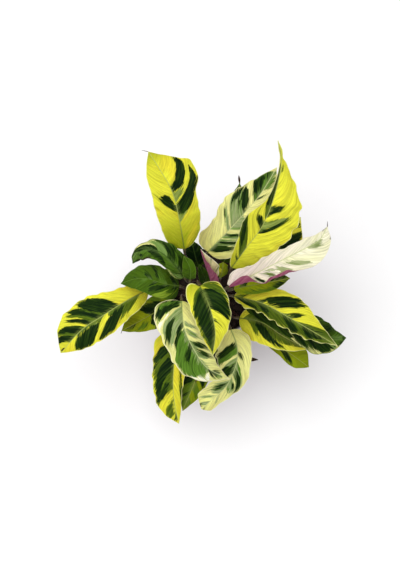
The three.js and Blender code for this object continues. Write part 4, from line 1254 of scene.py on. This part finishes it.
# A stalk's course: how deep it starts under the soil, how far it rises straight, how far its middle bows
# up, how it comes to its blade's neck from behind and below, and the gap that it leaves there.
STALK_DEPTH = 9 * MM
STALK_STUB = 4 * MM
STALK_BOW = 0.06
STALK_STEPS = 12
NECK_BACK = 11 * MM
NECK_DOWN = 4 * MM
NECK_GAP = 0.2 * MM


def revolve(profile, sides):
    """Vertices and faces of (radius, height) points, from axis to axis, turned about the Z axis."""
    profile = np.asarray(profile, float)
    turn = np.arange(sides) * math.tau / sides
    ring = np.stack([np.cos(turn), np.sin(turn)], -1)
    around = profile[1:-1]
    radial = around[:, None, :1] * ring[None]
    height = np.broadcast_to(around[:, None, 1:], (len(around), sides, 1))
    poles = [[0, 0, profile[0, 1]], [0, 0, profile[-1, 1]]]
    vertices = np.concatenate([np.concatenate([radial, height], -1).reshape(-1, 3), poles])
    index = np.arange(len(around) * sides).reshape(len(around), sides)
    wrap = np.roll(index, -1, 1)
    faces = np.stack([index[:-1], wrap[:-1], wrap[1:], index[1:]], -1).reshape(-1, 4).tolist()
    first, last = len(vertices) - 2, len(vertices) - 1
    for k in range(sides):
        faces.append([first, wrap[0, k], index[0, k]])
        faces.append([index[-1, k], wrap[-1, k], last])
    return vertices, faces


def rounded(corners):
    """An outline whose corners, given as (radius, height, rounding), are turned into curves."""
    points = []
    count = len(corners)
    for k, (x, z, size) in enumerate(corners):
        here = np.array([x, z])
        if size == 0:
            points.append(here)
            continue
        before = np.array(corners[k - 1][:2]) - here
        after = np.array(corners[(k + 1) % count][:2]) - here
        first = here + before / np.linalg.norm(before) * size
        last = here + after / np.linalg.norm(after) * size
        for t in np.linspace(0, 1, ROUNDING_STEPS + 1):
            points.append((1 - t) ** 2 * first + 2 * t * (1 - t) * here + t**2 * last)
    return points


def pot_outline(pot, low, high):
    """The pot's section, from the axis on its underside round the rim to the axis on its floor."""
    rim = high.x
    base = pot.base_radius
    wall_top = rim - pot.rim_step
    band_foot = high.z - pot.rim_height
    return rounded(
        [
            (0, low.z, 0),
            (base - UNDERSIDE_EDGE, low.z, SLIGHT_ROUNDING),
            (base, low.z, FOOT_ROUNDING),
            (base + (wall_top - base) * WALL_SHARE, band_foot - BAND_SLOPE, WALL_ROUNDING),
            (rim - BAND_TAPER, band_foot, BAND_ROUNDING),
            (rim, high.z, RIM_ROUNDING),
            (rim - RIM_WIDTH, high.z, RIM_ROUNDING),
            (wall_top - pot.wall, band_foot + INNER_STEP, BAND_ROUNDING),
            (base - pot.wall, pot.floor, WALL_ROUNDING),
            (0, pot.floor, 0),
        ]
    )


def soil_height(x, y, soil, reach):
    """Height of the soil's lumpy top."""
    u, v = x / MM, y / MM
    crossing = CROSSING_HEIGHT * np.sin((u + v) / CROSSING_LUMPS)
    lumps = np.sin(u / LUMPS[0] + 1) * np.sin(v / LUMPS[1] + 2) + crossing
    grains = GRAIN_HEIGHT * np.sin(u * 1.3 + 2 * np.sin(v * 0.7)) * np.sin(v * 1.1 + 1.7 * np.sin(u * 0.6))
    return soil.level + soil.mound * (1 - reach**2) + soil.bump * (lumps + grains)


def soil_mesh(soil, radius, foot_radius, foot):
    """The soil as a closed body with a mounded, lumpy top and a smaller, flat underside."""
    turn = np.linspace(0, math.tau, SOIL_SIDES, endpoint=False)
    reach = np.linspace(0, 1, SOIL_RINGS + 1)[1:]
    x = radius * np.outer(reach, np.cos(turn))
    y = radius * np.outer(reach, np.sin(turn))
    z = soil_height(x, y, soil, np.hypot(x, y) / radius)
    top = np.stack([x, y, z], -1).reshape(-1, 3)
    scale = foot_radius / radius
    bottom = np.stack([x[-1] * scale, y[-1] * scale, np.full(SOIL_SIDES, foot)], -1)
    middle = [[0, 0, float(soil_height(0.0, 0.0, soil, 0.0))], [0, 0, foot]]
    count = len(top)
    index = np.arange(count).reshape(SOIL_RINGS, SOIL_SIDES)
    wrap = np.roll(index, -1, 1)
    faces = np.stack([index[:-1], index[1:], wrap[1:], wrap[:-1]], -1).reshape(-1, 4).tolist()
    for k in range(SOIL_SIDES):
        after = (k + 1) % SOIL_SIDES
        faces.append([count + SOIL_SIDES, index[0, k], index[0, after]])
        faces.append([index[-1, k], count + k, count + after, index[-1, after]])
        faces.append([count + SOIL_SIDES + 1, count + after, count + k])
    return new_mesh("potting soil", np.concatenate([top, bottom, middle]), faces)


def centripetal(points, steps):
    """A smooth curve through points that are unevenly spaced, with this many steps between each two."""
    points = [np.asarray(p, float) for p in points]
    points = [2 * points[0] - points[1], *points, 2 * points[-1] - points[-2]]
    curve = []
    for k in range(1, len(points) - 2):
        p0, p1, p2, p3 = points[k - 1 : k + 3]
        t1 = math.sqrt(np.linalg.norm(p1 - p0))
        t2 = t1 + math.sqrt(np.linalg.norm(p2 - p1))
        t3 = t2 + math.sqrt(np.linalg.norm(p3 - p2))
        for t in np.linspace(t1, t2, steps, endpoint=False):
            a1 = (p0 * (t1 - t) + p1 * t) / t1
            a2 = (p1 * (t2 - t) + p2 * (t - t1)) / (t2 - t1)
            a3 = (p2 * (t3 - t) + p3 * (t - t2)) / (t3 - t2)
            b1 = (a1 * (t2 - t) + a2 * t) / t2
            b2 = (a2 * (t3 - t) + a3 * (t - t1)) / (t3 - t1)
            curve.append((b1 * (t2 - t) + b2 * (t - t1)) / (t2 - t1))
    return [*curve, points[-2]]


def stalk_path(shape, soil):
    """The stalk's middle line, from inside the soil to the neck of its blade."""
    base, along, _, up = (value[0] for value in midrib(shape, np.array([0.0]))[:4])
    foot = np.array([*shape["root"], soil.level - STALK_DEPTH])
    ground = np.array([*shape["root"], soil.level + soil.mound + STALK_STUB])
    neck = base - along * NECK_BACK - up * NECK_DOWN
    top = base - along * NECK_GAP
    middle = (ground + neck) / 2
    middle[2] += (neck[2] - ground[2]) * STALK_BOW
    return centripetal([foot, ground, middle, neck, top], STALK_STEPS)


def geometry_tree(name, inputs):
    """An empty geometry tree with named inputs: its wiring, its inputs and its end."""
    tree = bpy.data.node_groups.new(name, "GeometryNodeTree")
    tree.interface.new_socket("Geometry", in_out="INPUT", socket_type="NodeSocketGeometry")
    for label, kind in inputs.items():
        tree.interface.new_socket(label, in_out="INPUT", socket_type="NodeSocket" + kind)
    tree.interface.new_socket("Geometry", in_out="OUTPUT", socket_type="NodeSocketGeometry")
    wiring = Wiring(tree)
    return wiring, wiring.add("NodeGroupInput").outputs, wiring.add("NodeGroupOutput")


def finish_tree(wiring, given, end, geometry):
    """Ends a geometry tree with its copies made real and its material set."""
    real = wiring.add("GeometryNodeRealizeInstances", {0: geometry})
    painted = wiring.add(
        "GeometryNodeSetMaterial", {"Geometry": real.outputs[0], "Material": given["Material"]}
    )
    wiring.tree.links.new(painted.outputs[0], end.inputs[0])
    return wiring.tree


def grown(name, mesh, tree, values):
    """The mesh that a geometry tree makes from another, with the tree's inputs set by name."""
    carrier = bpy.data.objects.new(name, mesh)
    bpy.context.scene.collection.objects.link(carrier)
    modifier = carrier.modifiers.new(name, "NODES")
    modifier.node_group = tree
    for item in tree.interface.items_tree:
        if item.in_out == "INPUT" and item.name in values:
            modifier[item.identifier] = values[item.name]
    carrier.update_tag()
    bpy.context.view_layer.update()
    view = bpy.context.evaluated_depsgraph_get()
    made = bpy.data.meshes.new_from_object(carrier.evaluated_get(view))
    carrier.modifiers.remove(modifier)
    bpy.data.objects.remove(carrier)
    return made


def stalk_tree():
    """Turns a path into a stalk: a wide foot, a slim shaft and a knee under the blade."""
    inputs = {
        "Foot Radius": "Float",
        "Foot Length": "Float",
        "Shaft Radius": "Float",
        "Knee Radius": "Float",
        "Knee Length": "Float",
        "Sides": "Int",
        "Material": "Material",
    }
    wiring, given, end = geometry_tree("stalk", inputs)
    path = wiring.add("GeometryNodeMeshToCurve", {0: given["Geometry"]}).outputs[0]
    reached = wiring.add("GeometryNodeSplineParameter").outputs["Length"]
    whole = wiring.add("GeometryNodeSplineLength").outputs["Length"]
    left_over = wiring.maths("SUBTRACT", whole, reached)
    foot = wiring.span(reached, 0.0, given["Foot Length"], 1.0, 0.0)
    knee = wiring.span(left_over, 0.0, given["Knee Length"], 1.0, 0.0)
    radius = given["Shaft Radius"]
    for share, widest in ((foot, given["Foot Radius"]), (knee, given["Knee Radius"])):
        wider = wiring.maths("SUBTRACT", widest, given["Shaft Radius"])
        radius = wiring.maths("ADD", radius, wiring.maths("MULTIPLY", share, wider))
    marked = wiring.add(
        "GeometryNodeStoreNamedAttribute",
        {"Geometry": path, "Name": "knee", "Value": knee},
        data_type="FLOAT",
        domain="POINT",
    )
    sized = wiring.add("GeometryNodeSetCurveRadius", {"Curve": marked.outputs[0], "Radius": radius})
    section = wiring.add("GeometryNodeCurvePrimitiveCircle", {"Resolution": given["Sides"], "Radius": 1.0})
    tube = wiring.add(
        "GeometryNodeCurveToMesh",
        {
            "Curve": sized.outputs[0],
            "Profile Curve": section.outputs[0],
            "Scale": wiring.add("GeometryNodeInputRadius").outputs[0],
            "Fill Caps": True,
        },
    )
    smooth = wiring.add("GeometryNodeSetShadeSmooth", {"Geometry": tube.outputs[0], "Shade Smooth": True})
    return finish_tree(wiring, given, end, smooth.outputs[0])


def crumb_tree():
    """Scatters crumbs over the soil's top."""
    inputs = {"Density": "Float", "Radius": "Float", "Seed": "Int", "Material": "Material"}
    wiring, given, end = geometry_tree("crumbs", inputs)
    normal = wiring.add("GeometryNodeInputNormal").outputs[0]
    facing = wiring.add("ShaderNodeSeparateXYZ", {0: normal}).outputs[2]
    upward = wiring.maths("GREATER_THAN", facing, FACES_UP)
    points = wiring.add(
        "GeometryNodeDistributePointsOnFaces",
        {
            "Mesh": given["Geometry"],
            "Selection": upward,
            "Density": given["Density"],
            "Seed": given["Seed"],
        },
    )
    ball = wiring.add("GeometryNodeMeshIcoSphere", {"Radius": given["Radius"], "Subdivisions": 2})
    place = wiring.add("GeometryNodeInputPosition").outputs[0]
    rough = wiring.add("ShaderNodeTexNoise", {"Vector": place, "Scale": CRUMB_NOISE, "Detail": 1.0})
    push = wiring.add(
        "ShaderNodeVectorMath", {0: rough.outputs["Color"], 1: (0.5, 0.5, 0.5)}, operation="SUBTRACT"
    )
    push = wiring.add(
        "ShaderNodeVectorMath", {0: push.outputs[0], "Scale": given["Radius"]}, operation="SCALE"
    )
    lump = wiring.add("GeometryNodeSetPosition", {"Geometry": ball.outputs[0], "Offset": push.outputs[0]})
    turn = wiring.add(
        "FunctionNodeRandomValue",
        {0: (0.0, 0.0, 0.0), 1: (math.tau, math.tau, math.tau)},
        data_type="FLOAT_VECTOR",
    )
    size = wiring.add(
        "FunctionNodeRandomValue", {0: SMALLEST_CRUMB, 1: LARGEST_CRUMB}, data_type="FLOAT_VECTOR"
    )
    turned = wiring.add("FunctionNodeEulerToRotation", {0: turn.outputs[0]})
    copies = wiring.add(
        "GeometryNodeInstanceOnPoints",
        {
            "Points": points.outputs[0],
            "Instance": lump.outputs[0],
            "Rotation": turned.outputs[0],
            "Scale": size.outputs[0],
        },
    )
    return finish_tree(wiring, given, end, copies.outputs[0])


def hole_tree():
    """Cuts a circle of drain holes through the pot's floor."""
    inputs = {
        "Holes": "Int",
        "Hole Radius": "Float",
        "Hole Circle": "Float",
        "Depth": "Float",
        "Material": "Material",
    }
    wiring, given, end = geometry_tree("drain holes", inputs)
    circle = wiring.add(
        "GeometryNodeMeshCircle", {"Vertices": given["Holes"], "Radius": given["Hole Circle"]}
    )
    drill = wiring.add(
        "GeometryNodeMeshCylinder",
        {"Vertices": DRILL_SIDES, "Radius": given["Hole Radius"], "Depth": given["Depth"]},
    )
    drills = wiring.add(
        "GeometryNodeInstanceOnPoints", {"Points": circle.outputs[0], "Instance": drill.outputs[0]}
    )
    solid = wiring.add("GeometryNodeRealizeInstances", {0: drills.outputs[0]})
    cut = wiring.add("GeometryNodeMeshBoolean", operation="DIFFERENCE", solver="EXACT")
    wiring.tree.links.new(given["Geometry"], cut.inputs[0])
    wiring.tree.links.new(solid.outputs[0], cut.inputs[1])
    return finish_tree(wiring, given, end, cut.outputs[0])


class PLANT_OT_add_pot(bpy.types.Operator):
    """Adds the round nursery pot with its rim band and drain holes"""

    bl_idname = "plant.add_pot"
    bl_label = "Add Pot"

    def execute(self, context):
        pot = context.scene.plant_pot
        low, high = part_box("pot")
        vertices, faces = revolve(pot_outline(pot, low, high), POT_SIDES)
        body = new_mesh("pot body", vertices, faces)
        values = {
            "Holes": pot.holes,
            "Hole Radius": pot.hole_radius,
            "Hole Circle": pot.hole_circle,
            "Depth": pot.floor * DRILL_DEPTH,
            "Material": pot_material(pot),
        }
        new_piece("nursery_pot", grown("pot", body, hole_tree(), values), "pot")
        return {"FINISHED"}


class PLANT_OT_add_soil(bpy.types.Operator):
    """Adds the lumpy potting soil and the crumbs on it"""

    bl_idname = "plant.add_soil"
    bl_label = "Add Soil"

    def execute(self, context):
        soil = context.scene.plant_soil
        low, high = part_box("soil")
        foot_radius = context.scene.plant_pot.base_radius - SOIL_GAP
        mesh = soil_mesh(soil, high.x, foot_radius, low.z)
        material = soil_material(soil)
        ground = new_piece("potting_soil", mesh, "soil", material)
        values = {
            "Density": soil.crumbs * SQUARE_METRE,
            "Radius": soil.crumb,
            "Seed": CRUMB_SEED,
            "Material": material,
        }
        crumbs = grown("crumbs", ground.data.copy(), crumb_tree(), values)
        new_piece("soil_crumbs", crumbs)
        return {"FINISHED"}


class PLANT_OT_add_stalks(bpy.types.Operator):
    """Adds a stalk for each leaf, from the soil to the neck of its blade"""

    bl_idname = "plant.add_stalks"
    bl_label = "Add Stalks"

    def execute(self, context):
        stalks = context.scene.plant_stalks
        tree = stalk_tree()
        values = {
            "Foot Radius": stalks.foot_radius,
            "Foot Length": stalks.foot_length,
            "Shaft Radius": stalks.shaft_radius,
            "Knee Radius": stalks.knee_radius,
            "Knee Length": stalks.knee_length,
            "Sides": stalks.sides,
            "Material": stalk_material(stalks),
        }
        for name, shape in BLADES.items():
            path = stalk_path(shape, context.scene.plant_soil)
            line = bpy.data.meshes.new("path")
            line.from_pydata([tuple(p) for p in path], [(k, k + 1) for k in range(len(path) - 1)], [])
            new_piece("petiole_" + name, grown("stalk", line, tree, values), "stalk_" + name)
        return {"FINISHED"}


# The colours in each kind of leaf, as display codes or by the names of the settings that hold them: the
# ground, its tint along the blade, its warm clouds, the pattern's pale, green and grey bars, the rim, and
# the midrib along the blade and near its base.
TISSUE_PARTS = ("ground", "tint", "warm", "pale", "mid", "grey", "rim", "rib", "rib_base")
TISSUES = {
    "yellow": ("yellow", "olive", "DCC830", "cream", "556A14", "8A9A4A", "rim", "B2BC66", "54682A"),
    "cream": ("cream", "C8C862", "D6CC7C", "F6F4DC", "5C8428", "grey_green", "EAE6B4", "CCD494", "7C9450"),
    "ivory": ("F0EDCC", "DDCDC4", "E6E6AC", "F6F4DC", "76884A", "9DA676", "ECE6CE", "C2CC90", "A8AA78"),
    "green": ("green", "dark_green", "35520E", "7F9A2A", "mid_green", "74904A", "5A7622", "5C7A2C",
              "5C7A2C"),
    "olive": ("8C9C10", "green", "727E0C", "yellow", "5C7A16", "8A9A4A", "olive", "A0AA50", "7C8A3A"),
    "dark": ("dark_green", "green", "green", "cream", "mid_green", "74904A", "green", "3E5A22", "3E5A22"),
    "purple": ("D6CA96", "A88A6C", "B8A070", "cream", "mid_green", "grey_green", "F6F4DC", "purple_pale",
               "purple_pale"),
    "dry": ("4A3524", "dark_green", "dry", "cream", "dark_green", "dry", "dry", "dry", "dry"),
}


def tissue_colours(kind, leaves):
    """The colours of a kind of leaf, by part."""
    return {
        part: getattr(leaves, entry) if hasattr(leaves, entry) else linear(entry)
        for part, entry in zip(TISSUE_PARTS, TISSUES[kind], strict=True)
    }


class PLANT_OT_add_blades(bpy.types.Operator):
    """Adds the leaf blades with their pattern, midrib and wavy margins"""

    bl_idname = "plant.add_blades"
    bl_label = "Add Leaf Blades"

    def execute(self, context):
        leaves = context.scene.plant_leaves
        materials = {
            kind: leaf_material(kind + " leaf", tissue_colours(kind, leaves), leaves) for kind in TISSUES
        }
        for seed, (name, shape) in enumerate(BLADES.items()):
            kind = shape["kind"]
            mesh = blade_mesh(name, shape, leaves, seed)
            new_piece("blade_" + name, mesh, "leaf_" + name, materials[kind])
        return {"FINISHED"}


# The stage: the camera at the photograph's viewing angle and a soft light from the upper left.
CAMERA_PLACE = (-0.0219, -0.1990, 1.1625)
CAMERA_TARGET = (-0.0219, -0.0177, 0.2300)
SENSOR_WIDTH = 36
LIGHT_PLACE = (-0.4, 0.05, 1.2)
LIGHT_SOFTNESS = math.radians(65)


def aimed(name, data, place, target):
    """Adds a lamp or a camera that looks from its place at a target."""
    made = bpy.data.objects.new(name, data)
    made.location = place
    made.rotation_euler = (Vector(target) - made.location).to_track_quat("-Z", "Y").to_euler()
    bpy.context.scene.collection.objects.link(made)
    return made


class PLANT_OT_add_stage(bpy.types.Operator):
    """Adds the floor, the soft light and the camera that looks down on the plant"""

    bl_idname = "plant.add_stage"
    bl_label = "Add Stage"

    def execute(self, context):
        scene = context.scene
        stage = scene.plant_stage
        half = stage.floor_size / 2
        mesh = bpy.data.meshes.new("floor")
        corners = [(-half, -half, 0), (half, -half, 0), (half, half, 0), (-half, half, 0)]
        mesh.from_pydata(corners, [], [(0, 1, 2, 3)])
        mesh.materials.append(floor_material(stage))
        floor = bpy.data.objects.new("floor", mesh)
        scene.collection.objects.link(floor)

        scene.world = bpy.data.worlds.new("studio")
        scene.world.use_nodes = True
        sky = scene.world.node_tree.nodes["Background"]
        sky.inputs["Color"].default_value = (1, 1, 1, 1)
        sky.inputs["Strength"].default_value = stage.sky

        lamp = bpy.data.lights.new("soft light", "SUN")
        lamp.angle = LIGHT_SOFTNESS
        lamp.energy = stage.key
        aimed("soft light", lamp, LIGHT_PLACE, (0, 0, 0))

        lens = bpy.data.cameras.new("camera")
        lens.lens = stage.lens
        lens.sensor_width = SENSOR_WIDTH
        scene.camera = aimed("camera", lens, CAMERA_PLACE, CAMERA_TARGET)
        scene.view_settings.view_transform = "Standard"
        return {"FINISHED"}


class PLANT_PT_panel(bpy.types.Panel):
    """Lists the plant's pieces"""

    bl_idname = "PLANT_PT_panel"
    bl_label = "Prayer Plant"
    bl_space_type = "VIEW_3D"
    bl_region_type = "UI"
    bl_category = "Prayer Plant"

    def draw(self, context):
        for step in OPERATORS:
            self.layout.operator(step.bl_idname)


SETTINGS = {
    "plant_leaves": PlantLeafSettings,
    "plant_stalks": PlantStalkSettings,
    "plant_pot": PlantPotSettings,
    "plant_soil": PlantSoilSettings,
    "plant_stage": PlantStageSettings,
}
OPERATORS = (
    PLANT_OT_add_pot,
    PLANT_OT_add_soil,
    PLANT_OT_add_stalks,
    PLANT_OT_add_blades,
    PLANT_OT_add_stage,
)
CLASSES = (*SETTINGS.values(), *OPERATORS, PLANT_PT_panel)


def register():
    """Adds the plant's settings, operators and panel to Blender."""
    for item in CLASSES:
        bpy.utils.register_class(item)
    for name, group in SETTINGS.items():
        setattr(bpy.types.Scene, name, PointerProperty(type=group))


def unregister():
    """Takes them away again."""
    for name in SETTINGS:
        delattr(bpy.types.Scene, name)
    for item in reversed(CLASSES):
        bpy.utils.unregister_class(item)


def main():
    """Builds the plant and its stage."""
    register()
    bpy.ops.plant.add_pot()
    bpy.ops.plant.add_soil()
    bpy.ops.plant.add_stalks()
    bpy.ops.plant.add_blades()
    bpy.ops.plant.add_stage()
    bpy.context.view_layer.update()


if __name__ == "__main__":
    main()
